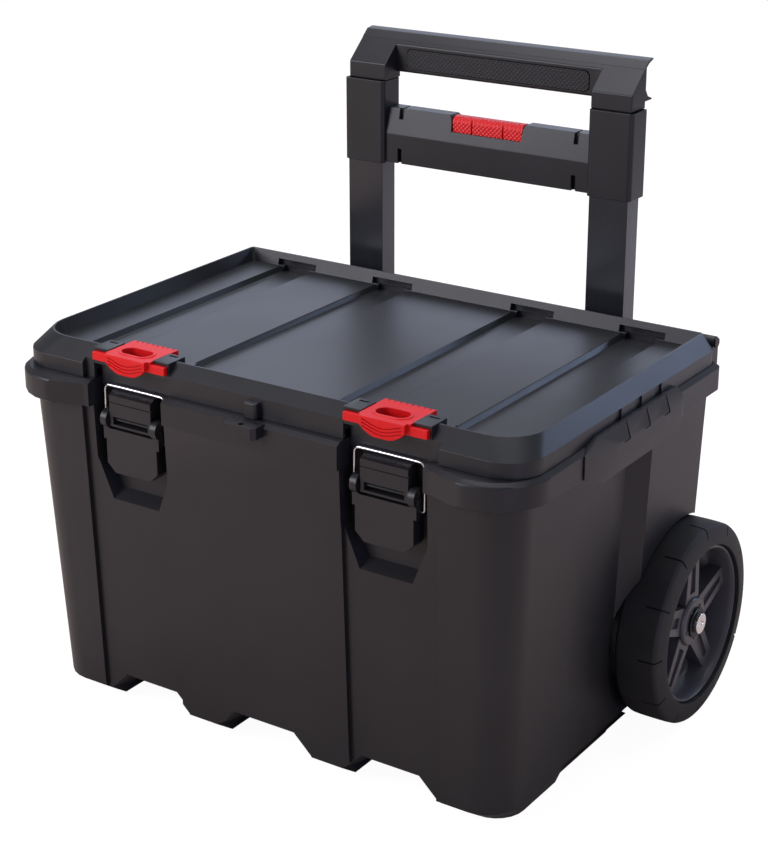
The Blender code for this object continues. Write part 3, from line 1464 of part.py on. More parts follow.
def yoke_body():
    """The whole yoke before it is split: two sleeves, the crossbar, and the room inside them."""
    bar_outline = [
        (CROSSBAR_FRONT, CROSSBAR_LOW),
        (CROSSBAR_REAR, CROSSBAR_LOW),
        (CROSSBAR_REAR, CROSSBAR_TOP - CROSSBAR_CHAMFER),
        (CROSSBAR_REAR - CROSSBAR_CHAMFER, CROSSBAR_TOP),
        (CROSSBAR_FRONT + CROSSBAR_LEAN, CROSSBAR_TOP),
        (CROSSBAR_FRONT, CROSSBAR_LOW + CROSSBAR_CREASE),
    ]
    yoke = prism("yoke", "X", -POST_X, POST_X, bar_outline)
    cutters = [
        box(
            "cavity",
            (-CROSSBAR_CAVITY_HALF, CROSSBAR_CAVITY_HALF),
            (CROSSBAR_FRONT + CROSSBAR_WALL, CROSSBAR_REAR - CROSSBAR_WALL),
            (CROSSBAR_CAVITY_LOW, CROSSBAR_CAVITY_TOP),
        ),
        box(
            "button",
            (-BUTTON_HALF - GAP, BUTTON_HALF + GAP),
            (BUTTON_FRONT - GAP, BUTTON_REAR + GAP),
            (BUTTON_LOW - BUTTON_TRAVEL - GAP, CROSSBAR_TOP + OVERRUN),
        ),
        box(
            "window",
            (-BUTTON_HALF - GAP, BUTTON_HALF + GAP),
            (CROSSBAR_FRONT - OVERRUN, BUTTON_FRONT),
            (CROSSBAR_TOP - BUTTON_WINDOW, CROSSBAR_TOP + OVERRUN),
        ),
        recess_cutter(),
        stem_box(GAP, CROSSBAR_CAVITY_LOW + OVERRUN),
    ]
    sleeves = []
    for side in SIDES.values():
        centre = side * POST_X
        corner = SLEEVE_CHAMFER
        sleeve = prism(
            "sleeve",
            "Z",
            SLEEVE_LOW,
            SLEEVE_TOP,
            rectangle(centre - SLEEVE_HALF, centre + SLEEVE_HALF, SLEEVE_FRONT, SLEEVE_REAR, corner),
        )
        sleeves.append(sleeve)
        cutters.append(
            prism("channel", "Z", SLEEVE_LOW - OVERRUN, SLEEVE_TOP + OVERRUN, post_outline(centre, GAP))
        )
        cutters.append(
            bolt_hole(side, BOLT_RADIUS + GAP, CROSSBAR_CAVITY_HALF - OVERRUN, POST_X - POST_WIDTH / 2)
        )
        notch_x = side * YOKE_NOTCH_X
        span = (notch_x, notch_x + side * YOKE_NOTCH_WIDTH)
        slit_span = (notch_x, notch_x + side * YOKE_SLIT)
        y_span = (CROSSBAR_FRONT - OVERRUN, CROSSBAR_FRONT + YOKE_NOTCH_DEPTH)
        cutters.append(box("notch", span, y_span, (CROSSBAR_LOW - OVERRUN, CROSSBAR_LOW + YOKE_NOTCH_RISE)))
        upper_y = (CROSSBAR_FRONT - OVERRUN, CROSSBAR_FRONT + YOKE_NOTCH_DEPTH + CROSSBAR_LEAN / 2)
        cutters.append(box("notch", span, upper_y, (CROSSBAR_TOP - YOKE_NOTCH_DROP, CROSSBAR_TOP + OVERRUN)))
        slit_y = (CROSSBAR_FRONT, CROSSBAR_REAR + OVERRUN)
        cutters.append(box("slit", slit_span, slit_y, (CROSSBAR_TOP - YOKE_SLIT, CROSSBAR_TOP + OVERRUN)))
    join(yoke, *sleeves)
    return cut(yoke, *cutters)


def recess_cutter():
    """The flared recess through the crossbar's top, which leaves the button's back free."""
    low = CROSSBAR_TOP - RECESS_DROP
    half = BUTTON_HALF + GAP
    outline = [
        (-half, low),
        (half, low),
        (half + RECESS_FLARE, CROSSBAR_TOP),
        (half + RECESS_FLARE, CROSSBAR_TOP + OVERRUN),
        (-half - RECESS_FLARE, CROSSBAR_TOP + OVERRUN),
        (-half - RECESS_FLARE, CROSSBAR_TOP),
    ]
    return prism("recess", "Y", CROSSBAR_FRONT - OVERRUN, CROSSBAR_REAR + OVERRUN, outline)


def stem_box(grow, low):
    """The button's stem, grown all round."""
    middle = POST_FRONT + POST_DEPTH / 2
    half = BUTTON_STEM_HALF + grow
    depth = BUTTON_STEM_DEPTH + grow
    return box("stem", (-half, half), (middle - depth, middle + depth), (low, BUTTON_LOW + SUNK))


def make_yoke(name, toward, plastic, carrier):
    """The front half (toward -1) or the rear half (toward +1) of the yoke."""
    half = POST_X + SLEEVE_HALF + OVERRUN
    z_span = (SLEEVE_LOW - OVERRUN, SLEEVE_TOP + OVERRUN)
    if toward < 0:
        y_span = (SLEEVE_FRONT - OVERRUN, YOKE_SPLIT - GAP / 2)
    else:
        y_span = (YOKE_SPLIT + GAP / 2, SLEEVE_REAR + OVERRUN)
    return finish(
        keep_inside(yoke_body(), box("half", (-half, half), y_span, z_span)), name, plastic, carrier
    )


def make_button(name, red, carrier):
    """The release button, whose stem reaches into the crossbar."""
    front = BUTTON_FRONT
    corners = [
        (front, BUTTON_LOW, 0),
        (BUTTON_REAR, BUTTON_LOW, 0),
        (BUTTON_REAR, BUTTON_TOP, BUTTON_BACK_ROUND),
        (front, BUTTON_TOP, BUTTON_ROUND),
    ]
    button = prism("button", "X", -BUTTON_HALF, BUTTON_HALF, rounded(corners))
    join(button, stem_box(0, BUTTON_STEM_LOW))
    grooves = []
    for side in SIDES.values():
        low = side * BUTTON_GROOVE_X
        span = (low - BUTTON_GROOVE / 2, low + BUTTON_GROOVE / 2)
        y_span = (front - OVERRUN, front + BUTTON_GROOVE)
        grooves.append(box("groove", span, y_span, (BUTTON_LOW - OVERRUN, BUTTON_TOP + OVERRUN)))
    return finish(cut(button, *grooves), name, red, carrier)


def make_spring(name, steel, carrier):
    """The button's return spring, one unbroken coil."""
    middle = POST_FRONT + POST_DEPTH / 2
    low = CROSSBAR_CAVITY_LOW + GAP + SPRING_WIRE
    high = BUTTON_STEM_LOW - GAP - SPRING_WIRE
    count = SPRING_TURNS * SPRING_TURN_POINTS
    points = []
    for index in range(count + 1):
        angle = math.tau * index / SPRING_TURN_POINTS
        x = SPRING_RADIUS * math.cos(angle)
        y = middle + SPRING_RADIUS * math.sin(angle)
        points.append((x, y, low + (high - low) * index / count))
    return finish(tube("spring", points, SPRING_WIRE, BAIL_SIDES), name, steel, carrier)


def make_bolt(name, side, steel, carrier):
    """One lock bolt, from its head beside the button's stem to its tip in the inner tube."""
    y = POST_FRONT + POST_DEPTH / 2
    bolt = bolt_hole(side, BOLT_RADIUS, BOLT_INNER + SUNK, BOLT_TIP)
    head = box(
        "head",
        (side * BOLT_INNER, side * (BOLT_INNER + BOLT_HEAD_LENGTH)),
        (y - BOLT_HEAD_HALF, y + BOLT_HEAD_HALF),
        (BOLT_Z - BOLT_HEAD_HALF, BOLT_Z + BOLT_HEAD_HALF),
    )
    return finish(join(bolt, head), name, steel, carrier)


def make_inner_tube(name, side, metal, carrier):
    """One inner tube, slotted for its lock bolt."""
    centre = side * POST_X
    made = prism("tube", "Z", TUBE_LOW, TUBE_TOP, tube_outline(centre, 0))
    bore = prism("bore", "Z", TUBE_LOW - OVERRUN, TUBE_TOP + OVERRUN, tube_outline(centre, -TUBE_WALL))
    inner_face = POST_X - TUBE_WIDTH / 2
    middle = POST_FRONT + POST_DEPTH / 2
    half = BOLT_RADIUS + GAP
    slot_low = BOLT_Z - HANDLE_TRAVEL - half - GAP
    x_span = (side * (inner_face - OVERRUN), side * (inner_face + TUBE_WALL + SUNK))
    slot = box("slot", x_span, (middle - half, middle + half), (slot_low, BOLT_Z + half + GAP))
    return finish(cut(made, bore, slot), name, metal, carrier)


def make_tube_stop(name, side, plastic, carrier):
    """The collar at an inner tube's foot that stops it at the post's bush."""
    centre = side * POST_X
    low = TUBE_LOW - STOP_HEIGHT
    stop = prism("stop", "Z", low, TUBE_LOW + STOP_HEIGHT, post_outline(centre, -POST_WALL - GAP))
    seat = prism("seat", "Z", TUBE_LOW - GAP, TUBE_LOW + STOP_HEIGHT + OVERRUN, tube_outline(centre, GAP))
    return finish(cut(stop, seat), name, plastic, carrier)


def grip_body():
    """The whole grip before it is split: a hood that slants back over two legs, cut away between them."""
    tip_low = GRIP_BAR_LOW + GRIP_TIP
    fillet = GRIP_FILLET
    section = [
        (GRIP_REAR, GRIP_BAR_LOW),
        (GRIP_REAR, GRIP_LEG_LOW),
        (GRIP_FRONT, GRIP_LEG_LOW),
        (GRIP_FRONT, GRIP_SHOULDER_Z),
        (GRIP_RIDGE_Y, GRIP_RIDGE_Z),
        (GRIP_TIP_Y, GRIP_BAR_TOP),
        (GRIP_TIP_Y, GRIP_BAR_TOP - GRIP_TIP),
        (GRIP_BAR_REAR + fillet, GRIP_RIDGE_Z - GRIP_TIP - GRIP_TIP),
        (GRIP_BAR_REAR, GRIP_RIDGE_Z - GRIP_TIP - fillet),
        (GRIP_BAR_REAR, tip_low + fillet + fillet),
        (GRIP_BAR_REAR + fillet, tip_low + GRIP_TIP + GRIP_TIP),
        (GRIP_TIP_Y, tip_low),
        (GRIP_TIP_Y, GRIP_BAR_LOW),
    ]
    grip = prism("grip", "X", -GRIP_HALF, GRIP_HALF, section)
    corner = GRIP_BAR_CORNER
    opening = [
        (GRIP_FRONT - OVERRUN, GRIP_LEG_LOW - OVERRUN),
        (GRIP_REAR + OVERRUN, GRIP_LEG_LOW - OVERRUN),
        (GRIP_REAR, GRIP_BAR_LOW),
        (GRIP_BAR_FRONT + corner, GRIP_BAR_LOW),
        (GRIP_BAR_FRONT, GRIP_BAR_LOW + corner),
        (GRIP_BAR_FRONT, GRIP_BAR_TOP + OVERRUN),
        (GRIP_FRONT - OVERRUN, GRIP_BAR_TOP + OVERRUN),
    ]
    cutters = [prism("opening", "X", -GRIP_LEG_INNER, GRIP_LEG_INNER, opening)]
    for side in SIDES.values():
        seat = prism("seat", "Z", GRIP_LEG_LOW - OVERRUN, TUBE_TOP + GAP, tube_outline(side * POST_X, GAP))
        cutters.append(seat)
    y_span = (GRIP_BAR_FRONT - OVERRUN, GRIP_BAR_FRONT + PAD_DEPTH + GAP)
    cutters.append(pad_prism("pad", GAP, *y_span))
    return cut(grip, *cutters)


def pad_prism(name, grow, front, rear):
    """The grip pad's outline carried from front to rear, grown all round."""
    half = PAD_HALF + grow
    low = PAD_LOW - grow
    high = PAD_TOP + grow
    chamfer = PAD_CHAMFER
    outline = [
        (-half, low + chamfer),
        (-half + chamfer, low),
        (half - chamfer, low),
        (half, low + chamfer),
        (half, high - chamfer),
        (half - chamfer, high),
        (-half + chamfer, high),
        (-half, high - chamfer),
    ]
    return prism(name, "Y", front, rear, outline)


def make_grip(name, toward, plastic, carrier):
    """The front half (toward -1) or the rear half (toward +1) of the grip."""
    half = GRIP_HALF + OVERRUN
    z_span = (GRIP_LEG_LOW - OVERRUN, GRIP_BAR_TOP + OVERRUN)
    if toward < 0:
        y_span = (GRIP_FRONT - OVERRUN, GRIP_SPLIT - GAP / 2)
    else:
        y_span = (GRIP_SPLIT + GAP / 2, GRIP_TIP_Y + OVERRUN)
    return finish(
        keep_inside(grip_body(), box("half", (-half, half), y_span, z_span)), name, plastic, carrier
    )


def make_wheel(label, side, materials):
    """One wheel with the fixed axle, washer and screw that hold it."""
    carrier = empty_at(
        f"wheel_{label}_axis", (side * (TYRE_INNER_X + TYRE_OUTER_X) / 2, WHEEL_Y, WHEEL_RADIUS)
    )
    make_tyre(f"tyre_{label}", side, materials["rubber"], carrier)
    make_hub(f"wheel_hub_{label}", side, materials["plastic"], carrier)
    make_bush(f"hub_bush_{label}", side, materials["bush"], carrier)
    make_axle(f"axle_{label}", side, materials["steel"])
    make_washer(f"axle_washer_{label}", side, materials["steel"])
    make_axle_screw(f"axle_screw_{label}", side, materials["chrome"])


def make_latch(label, side, materials):
    """One latch: its fixed pin, its lever and its wire bail."""
    centre = side * LATCH_X
    pin = latch_pin_cutter(centre, LEVER_PIN, EAR_OUTER + GAP)
    finish(pin, f"latch_pin_{label}", materials["steel"])
    lever_axis = empty_at(f"latch_{label}_axis", (centre, LEVER_Y, LEVER_Z))
    make_lever(f"latch_lever_{label}", centre, materials["plastic"], lever_axis)
    bail_axis = empty_at(f"bail_{label}_axis", (centre, BAIL_Y, BAIL_Z), lever_axis)
    make_bail(f"latch_bail_{label}", centre, materials["chrome"], bail_axis)


def make_lid_group(materials):
    """The lid with its seal, locks and lock covers."""
    lid_axis = empty_at("lid_axis", (0, HINGE_Y, HINGE_Z))
    make_lid(materials["plastic"], lid_axis)
    make_seal(materials["rubber"], lid_axis)
    for label, side in SIDES.items():
        centre = side * LATCH_X
        slide = empty_at(f"lock_{label}_slide", (centre, LOCK_REAR, LOCK_BED), lid_axis)
        make_lock(f"lock_{label}", centre, materials["red"], slide)
        for place, toward in (("outer", side), ("inner", -side)):
            make_lock_cover(f"lock_cover_{label}_{place}", centre, toward, materials["plastic"], lid_axis)


def make_handle(materials):
    """The two-stage handle: posts and yoke outside, tubes and grip inside, with their release."""
    middle = POST_FRONT + POST_DEPTH / 2
    outer = empty_at("handle_outer_slide", (0, middle, SLEEVE_LOW))
    inner = empty_at("handle_inner_slide", (0, middle, GRIP_LEG_LOW), outer)
    press = empty_at("button_slide", (0, middle, BUTTON_TOP), outer)
    make_yoke("yoke_front", -1, materials["plastic"], outer)
    make_yoke("yoke_rear", 1, materials["plastic"], outer)
    make_button("release_button", materials["red"], press)
    make_spring("button_spring", materials["steel"], outer)
    make_grip("grip_front", -1, materials["plastic"], inner)
    make_grip("grip_rear", 1, materials["plastic"], inner)
    pad = pad_prism("pad", 0, GRIP_BAR_FRONT - PAD_PROUD, GRIP_BAR_FRONT + PAD_DEPTH)
    finish(pad, "grip_pad", materials["rubber"], inner)
    for label, side in SIDES.items():
        make_guide(f"handle_guide_{label}", side, materials["plastic"])
        make_guide_bush(f"guide_bush_{label}", side, materials["bush"])
        make_post(f"post_{label}", side, materials["metal"], outer)
        make_post_bush(f"post_bush_{label}", side, materials["bush"], outer)
        make_inner_tube(f"inner_tube_{label}", side, materials["metal"], inner)
        make_tube_stop(f"tube_stop_{label}", side, materials["bush"], inner)
        bolt_slide = empty_at(f"bolt_{label}_slide", (side * BOLT_TIP, middle, BOLT_Z), outer)
        make_bolt(f"lock_bolt_{label}", side, materials["steel"], bolt_slide)


def main():
    clear_scene()
    materials = {
        "plastic": material("black_plastic", (0.030, 0.031, 0.034), 0.48),
        "red": material("red_plastic", (0.72, 0.022, 0.028), 0.42),
        "rubber": material("black_rubber", (0.024, 0.024, 0.027), 0.75),
        "bush": material("grey_nylon", (0.09, 0.09, 0.095), 0.5),
        "metal": material("painted_tube", (0.045, 0.05, 0.06), 0.35, 0.6),
        "steel": material("steel", (0.55, 0.55, 0.56), 0.35, 1.0),
        "chrome": material("bright_wire", (0.80, 0.80, 0.81), 0.2, 1.0),
    }
    make_tub(materials["plastic"])
    make_lid_group(materials)
    make_handle(materials)
    for label, side in SIDES.items():
        make_latch(label, side, materials)
        make_wheel(label, side, materials)
        make_side_grip(f"side_grip_{label}", side, materials["plastic"])
        make_hinge_pin(f"hinge_pin_{label}", side, materials["steel"])
    bpy.context.view_layer.update()


main()
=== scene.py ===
"""Dresses the rolling toolbox: rounds and details its mouldings, and gives every piece its finish.

Lengths are metres. X runs to the right, Y to the back and Z up, with the ground at zero.
"""

import json
import logging
import math
from dataclasses import dataclass
from enum import Enum
from typing import Any, Callable, Iterable

import bmesh
import bpy
from mathutils import Matrix, Vector

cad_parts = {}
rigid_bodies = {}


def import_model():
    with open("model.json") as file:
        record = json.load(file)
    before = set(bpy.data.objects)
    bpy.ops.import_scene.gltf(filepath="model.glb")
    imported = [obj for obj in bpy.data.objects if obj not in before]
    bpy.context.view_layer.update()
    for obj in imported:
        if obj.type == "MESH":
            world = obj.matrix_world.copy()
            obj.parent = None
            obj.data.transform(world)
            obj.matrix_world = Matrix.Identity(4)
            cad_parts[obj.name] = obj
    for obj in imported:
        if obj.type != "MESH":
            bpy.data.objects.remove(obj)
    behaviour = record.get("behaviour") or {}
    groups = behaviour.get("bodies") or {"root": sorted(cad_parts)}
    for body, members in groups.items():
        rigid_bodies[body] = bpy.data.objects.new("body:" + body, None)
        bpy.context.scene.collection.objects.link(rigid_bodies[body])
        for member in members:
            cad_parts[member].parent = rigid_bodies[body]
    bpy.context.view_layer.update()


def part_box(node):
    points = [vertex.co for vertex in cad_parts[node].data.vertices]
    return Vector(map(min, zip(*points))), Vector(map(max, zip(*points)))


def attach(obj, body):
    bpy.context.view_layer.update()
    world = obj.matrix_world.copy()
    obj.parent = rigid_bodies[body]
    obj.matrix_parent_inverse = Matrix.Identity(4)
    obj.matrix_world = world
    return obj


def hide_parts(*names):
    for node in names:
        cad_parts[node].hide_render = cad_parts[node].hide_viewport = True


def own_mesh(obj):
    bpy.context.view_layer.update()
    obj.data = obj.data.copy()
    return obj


LOG = logging.getLogger("rolling_toolbox")

Piece = bpy.types.Object
Material = bpy.types.Material
NodeTree = bpy.types.NodeTree
Pair = tuple[float, float]
Point = tuple[float, float, float]
Sockets = dict[str | int, Any]

# Places less than this apart count as one, and an edge that rises less runs level
NEAR = 0.0003
# A cutter stands this far out of what it cuts
OVERLAP = 0.001
# Vertices closer than this are merged
MERGED = 0.00001
# Neighbouring faces of a CAD solid that turn less than this many degrees are one flat face
CAD_FLAT = 0.6
# An edge takes a broad rounding when its faces turn more than this many degrees
BROAD_ANGLE = 20
# How a broad rounding is made
BROAD = {"segments": 3, "affect": "EDGES", "clamp_overlap": True, "miter_outer": "ARC"}
# Numbers of a Mix node's factor, its two colours and its mixed colour, whose names repeat in the node
MIX_FACTOR, MIX_FIRST, MIX_SECOND, MIX_RESULT = 0, 6, 7, 2


class Side(Enum):
    """The two sides of the toolbox, with the sign of their x."""

    LEFT = -1
    RIGHT = 1

    @property
    def label(self) -> str:
        """The side's word in the nodes' names."""
        return self.name.lower()


class Axis(Enum):
    """The axes, with their numbers in a point."""

    X = 0
    Y = 1
    Z = 2


class Element(Enum):
    """What edit mode selects."""

    FACE = "FACE"
    EDGE = "EDGE"


class Operation(Enum):
    """What a Boolean modifier does with its tool."""

    UNION = "UNION"
    DIFFERENCE = "DIFFERENCE"


# Colour and nodes


def linear(colour: str) -> tuple[float, float, float, float]:
    """Turns an sRGB hex colour to linear, by the sRGB standard's curve.

    Args:
        colour: The colour as "#rrggbb".

    Returns:
        Its linear red, green and blue, and an alpha of one.
    """
    shares = [int(colour[i : i + 2], 16) / 255 for i in (1, 3, 5)]
    red, green, blue = (c / 12.92 if c <= 0.04045 else ((c + 0.055) / 1.055) ** 2.4 for c in shares)
    return red, green, blue, 1.0


def add_node(tree: NodeTree, kind: str, settings: Sockets, links: Sockets) -> Any:
    """Adds a node.

    Args:
        tree: The tree that the node goes into.
        kind: The node's type without its leading "ShaderNode".
        settings: Values by the name or number of an input, or by the name of a property.
        links: Sockets by the name or number of the input that they go into.

    Returns:
        The node.
    """
    node = tree.nodes.new("ShaderNode" + kind)
    for key, value in settings.items():
        if isinstance(key, int) or key in node.inputs:
            node.inputs[key].default_value = value
        else:
            setattr(node, key, value)
    for key, socket in links.items():
        tree.links.new(socket, node.inputs[key])
    return node


def empty_material(name: str) -> tuple[Material, NodeTree]:
    """Starts a material with no nodes.

    Args:
        name: The finish's common name.

    Returns:
        The material and its tree.
    """
    made = bpy.data.materials.new(name)
    made.use_nodes = True
    made.node_tree.nodes.clear()
    return made, made.node_tree


@dataclass(frozen=True)
class MouldedPlastic:
    """Injection-moulded plastic with a fine spark-eroded grain, which spreads its highlights softly.

    The mottle is the slow change of shade and gloss where the melt flowed.
    """

    name: str
    colour: str
    shade: str
    roughness: float
    specular: float = 0.5
    grain: float = 0.0011
    relief: float = 0.00006
    mottle: float = 0.060
    drag: Point = (1.0, 1.0, 1.0)
    gloss_change: float = 0.05
    shade_until: float = 0.35
    colour_from: float = 0.65

    def build(self) -> Material:
        """Makes the material.

        Returns:
            The material.
        """
        made, tree = empty_material(self.name)
        place = add_node(tree, "TexCoord", {}, {}).outputs["Object"]
        slow = add_node(tree, "TexNoise", {"Scale": 1 / self.mottle, "Detail": 4.0}, {"Vector": place})
        drawn = add_node(tree, "Mapping", {"Scale": self.drag}, {"Vector": place})
        sparks = {"Scale": 1 / self.grain, "Detail": 2.0, "Roughness": 0.6}
        fine = add_node(tree, "TexNoise", sparks, {"Vector": drawn.outputs[0]})
        tint = add_node(tree, "ValToRGB", {}, {"Fac": slow.outputs["Fac"]})
        tint.color_ramp.elements[0].position = self.shade_until
        tint.color_ramp.elements[0].color = linear(self.shade)
        tint.color_ramp.elements[1].position = self.colour_from
        tint.color_ramp.elements[1].color = linear(self.colour)
        spread = {"To Min": self.roughness - self.gloss_change, "To Max": self.roughness + self.gloss_change}
        gloss = add_node(tree, "MapRange", spread, {"Value": slow.outputs["Fac"]})
        raised = {"Strength": 0.6, "Distance": self.relief}
        bump = add_node(tree, "Bump", raised, {"Height": fine.outputs["Fac"]})
        looks = {"Base Color": tint.outputs[0], "Roughness": gloss.outputs[0], "Normal": bump.outputs[0]}
        shader = add_node(tree, "BsdfPrincipled", {"Specular IOR Level": self.specular, "IOR": 1.49}, looks)
        add_node(tree, "OutputMaterial", {}, {"Surface": shader.outputs[0]})
        return made


@dataclass(frozen=True)
class DottedPlastic:
    """Moulded plastic or rubber with small raised dots, for grip, which break up its highlights; painted
    shade darkens their hollows.
    """

    name: str
    colour: str
    hollow: str
    roughness: float
    pitch: float
    relief: float
    turn: float = 45.0

    def build(self) -> Material:
        """Makes the material.

        Returns:
            The material.
        """
        made, tree = empty_material(self.name)
        place = add_node(tree, "TexCoord", {}, {}).outputs["Object"]
        slanted = {"Rotation": (0.0, math.radians(self.turn), 0.0)}
        turned = add_node(tree, "Mapping", slanted, {"Vector": place})
        dots = {"Scale": 1 / self.pitch, "Randomness": 0.12}
        cells = add_node(tree, "TexVoronoi", dots, {"Vector": turned.outputs[0]})
        round_top = {"From Min": 0.15, "From Max": 0.55, "To Min": 1.0, "To Max": 0.0}
        dome = add_node(tree, "MapRange", round_top, {"Value": cells.outputs["Distance"]})
        # Painted shade: the hollows between the dots take the darker colour, as if shaded by the raised dots
        shades = {"data_type": "RGBA", MIX_FIRST: linear(self.hollow), MIX_SECOND: linear(self.colour)}
        tint = add_node(tree, "Mix", shades, {MIX_FACTOR: dome.outputs["Result"]}).outputs[MIX_RESULT]
        raised = {"Strength": 0.8, "Distance": self.relief}
        bump = add_node(tree, "Bump", raised, {"Height": dome.outputs["Result"]})
        skin = {"Roughness": self.roughness, "Specular IOR Level": 0.4, "IOR": 1.5}
        looks = {"Base Color": tint, "Normal": bump.outputs[0]}
        shader = add_node(tree, "BsdfPrincipled", skin, looks)
        add_node(tree, "OutputMaterial", {}, {"Surface": shader.outputs[0]})
        return made


@dataclass(frozen=True)
class DrawnMetal:
    """Metal or painted tube with faint lines along the way it was drawn, which stretch its highlights."""

    name: str
    colour: str
    shade: str
    roughness: float
    metallic: float = 1.0
    line: float = 0.0012
    along: Point = (1.0, 1.0, 0.02)
    relief: float = 0.00002
    gloss_change: float = 0.06

    def build(self) -> Material:
        """Makes the material.

        Returns:
            The material.
        """
        made, tree = empty_material(self.name)
        place = add_node(tree, "TexCoord", {}, {}).outputs["Object"]
        drawn = add_node(tree, "Mapping", {"Scale": self.along}, {"Vector": place})
        fine = {"Scale": 1 / self.line, "Detail": 3.0}
        lines = add_node(tree, "TexNoise", fine, {"Vector": drawn.outputs[0]})
        shades = {"data_type": "RGBA", MIX_FIRST: linear(self.shade), MIX_SECOND: linear(self.colour)}
        tint = add_node(tree, "Mix", shades, {MIX_FACTOR: lines.outputs["Fac"]}).outputs[MIX_RESULT]
        spread = {"To Min": self.roughness - self.gloss_change, "To Max": self.roughness + self.gloss_change}
        gloss = add_node(tree, "MapRange", spread, {"Value": lines.outputs["Fac"]})
        raised = {"Strength": 0.4, "Distance": self.relief}
        bump = add_node(tree, "Bump", raised, {"Height": lines.outputs["Fac"]})
        looks = {"Base Color": tint, "Roughness": gloss.outputs[0], "Normal": bump.outputs[0]}
        shader = add_node(tree, "BsdfPrincipled", {"Metallic": self.metallic}, looks)
        add_node(tree, "OutputMaterial", {}, {"Surface": shader.outputs[0]})
        return made


class Finishes:
    """Every material of the toolbox, each made once."""

    def __init__(self) -> None:
        """Makes the materials."""
        # Structural-foam polypropylene: near black, satin, with a soft grain
        self.shell = MouldedPlastic(
            "moulded polypropylene", "#1f1f22", "#1b1b1e", roughness=0.42, specular=0.40
        ).build()
        # The lid's top was polished along its ribs, so its grain is drawn from front to back
        self.lid = MouldedPlastic(
            "lined polypropylene", "#202124", "#1c1d20",
            roughness=0.38, specular=0.42, grain=0.0012, drag=(1.0, 0.08, 1.0),
        ).build()
        # Latch levers, locks' covers, yoke and grip: glass-filled polyamide, a little smoother
        self.fitting = MouldedPlastic(
            "glass-filled polyamide", "#1f1f22", "#1b1b1d", roughness=0.38, specular=0.42, grain=0.0009
        ).build()
        # Locks: acetal dyed red, smooth with a soft sheen
        self.red = MouldedPlastic(
            "red acetal", "#dc1417", "#d21015", roughness=0.42, specular=0.26, grain=0.0013, relief=0.00003
        ).build()
        # Release button: the same red, knurled with dots drawn 3 mm apart so that they show, with painted
        # shade in a darker red between the dots
        self.red_dots = DottedPlastic(
            "knurled red acetal", "#f4282a", "#d61418", roughness=0.40, pitch=0.0030, relief=0.0005
        ).build()
        # Tyre: styrene rubber, dull, with a slightly chalky skin
        self.rubber = MouldedPlastic(
            "styrene rubber", "#222224", "#1c1c1e",
            roughness=0.60, specular=0.35, grain=0.0016, relief=0.0001, mottle=0.03,
        ).build()
        # Grip pad: thermoplastic elastomer with raised dots, drawn 3 mm apart so that they show, with painted
        # shade in a darker grey between the dots
        self.pad = DottedPlastic(
            "dotted elastomer", "#303034", "#1a1a1c", roughness=0.55, pitch=0.0030, relief=0.0004
        ).build()
        # Wheel centre: polypropylene, lighter and glossier than the shell
        self.hub = MouldedPlastic(
            "wheel polypropylene", "#464548", "#3e3d40", roughness=0.36, grain=0.0012
        ).build()
        # Bushes: natural grey nylon, satin
        self.nylon = MouldedPlastic("grey nylon", "#55565a", "#4c4d50", roughness=0.45, grain=0.0010).build()
        # Seal: foamed EPDM, quite dull
        self.seal = MouldedPlastic(
            "foamed rubber", "#1e1e1f", "#161617", roughness=0.8, specular=0.2, grain=0.0015, relief=0.00015
        ).build()
        # Posts and tubes: steel with satin charcoal paint
        self.tube = DrawnMetal(
            "painted steel tube", "#24262b", "#1e2024", roughness=0.24, metallic=0.0, relief=0.000005
        ).build()
        # Bails: bright zinc-plated wire
        self.wire = DrawnMetal(
            "zinc-plated wire", "#e4e5e8", "#c9cbd0",
            roughness=0.24, line=0.0009, along=(0.3, 1.0, 0.1),
        ).build()
        # Axles, lock bolts and the button's spring: plain bright steel
        self.steel = DrawnMetal(
            "bright steel", "#b9babd", "#9b9ca0", roughness=0.32, along=(0.05, 1.0, 1.0)
        ).build()
        # Hinge pins, latch pins and axle washers: blackened steel, dull and dark
        self.blackened = DrawnMetal(
            "blackened steel", "#2b2b2d", "#202022", roughness=0.45, metallic=0.6
        ).build()
        # Axle screws: nickel-plated, polished
        self.screw = DrawnMetal("nickel-plated steel", "#eeeeec", "#d9d8d4", roughness=0.20).build()


# Modelling steps


def within(limits: Pair, value: float) -> bool:
    """Tells whether a value lies between a lower and an upper limit."""
    return limits[0] < value < limits[1]


def lies_at(item: Any, axis: Axis, place: float, near: float = NEAR) -> bool:
    """Tells whether a face or an edge lies at one place along an axis."""
    return all(abs(vertex.co[axis.value] - place) < near for vertex in item.verts)


def select_only(*objects: Piece) -> None:
    """Selects the objects alone, in object mode, and makes the last one active.

    Args:
        *objects: The objects.
    """
    for other in bpy.context.view_layer.objects:
        other.select_set(False)
    for obj in objects:
        obj.select_set(True)
        bpy.context.view_layer.objects.active = obj


def pick(piece: Piece, kind: Element, test: Callable[[Any], bool]) -> int:
    """Selects the faces or edges that pass the test, and nothing else, in edit mode.

    Args:
        piece: The piece.
        kind: Whether faces or edges are selected.
        test: The test for one bmesh face or edge.

    Returns:
        How many were selected.
    """
    if bpy.context.mode == "OBJECT":
        select_only(piece)
        bpy.ops.object.mode_set(mode="EDIT")
    bpy.ops.mesh.select_mode(type=kind.value)
    bpy.ops.mesh.select_all(action="DESELECT")
    shape = bmesh.from_edit_mesh(piece.data)
    chosen = [item for item in (shape.faces if kind is Element.FACE else shape.edges) if test(item)]
    for item in chosen:
        item.select_set(True)
    bmesh.update_edit_mesh(piece.data)
    return len(chosen)


def leave_edit() -> None:
    """Goes back to object mode."""
    bpy.ops.object.mode_set(mode="OBJECT")


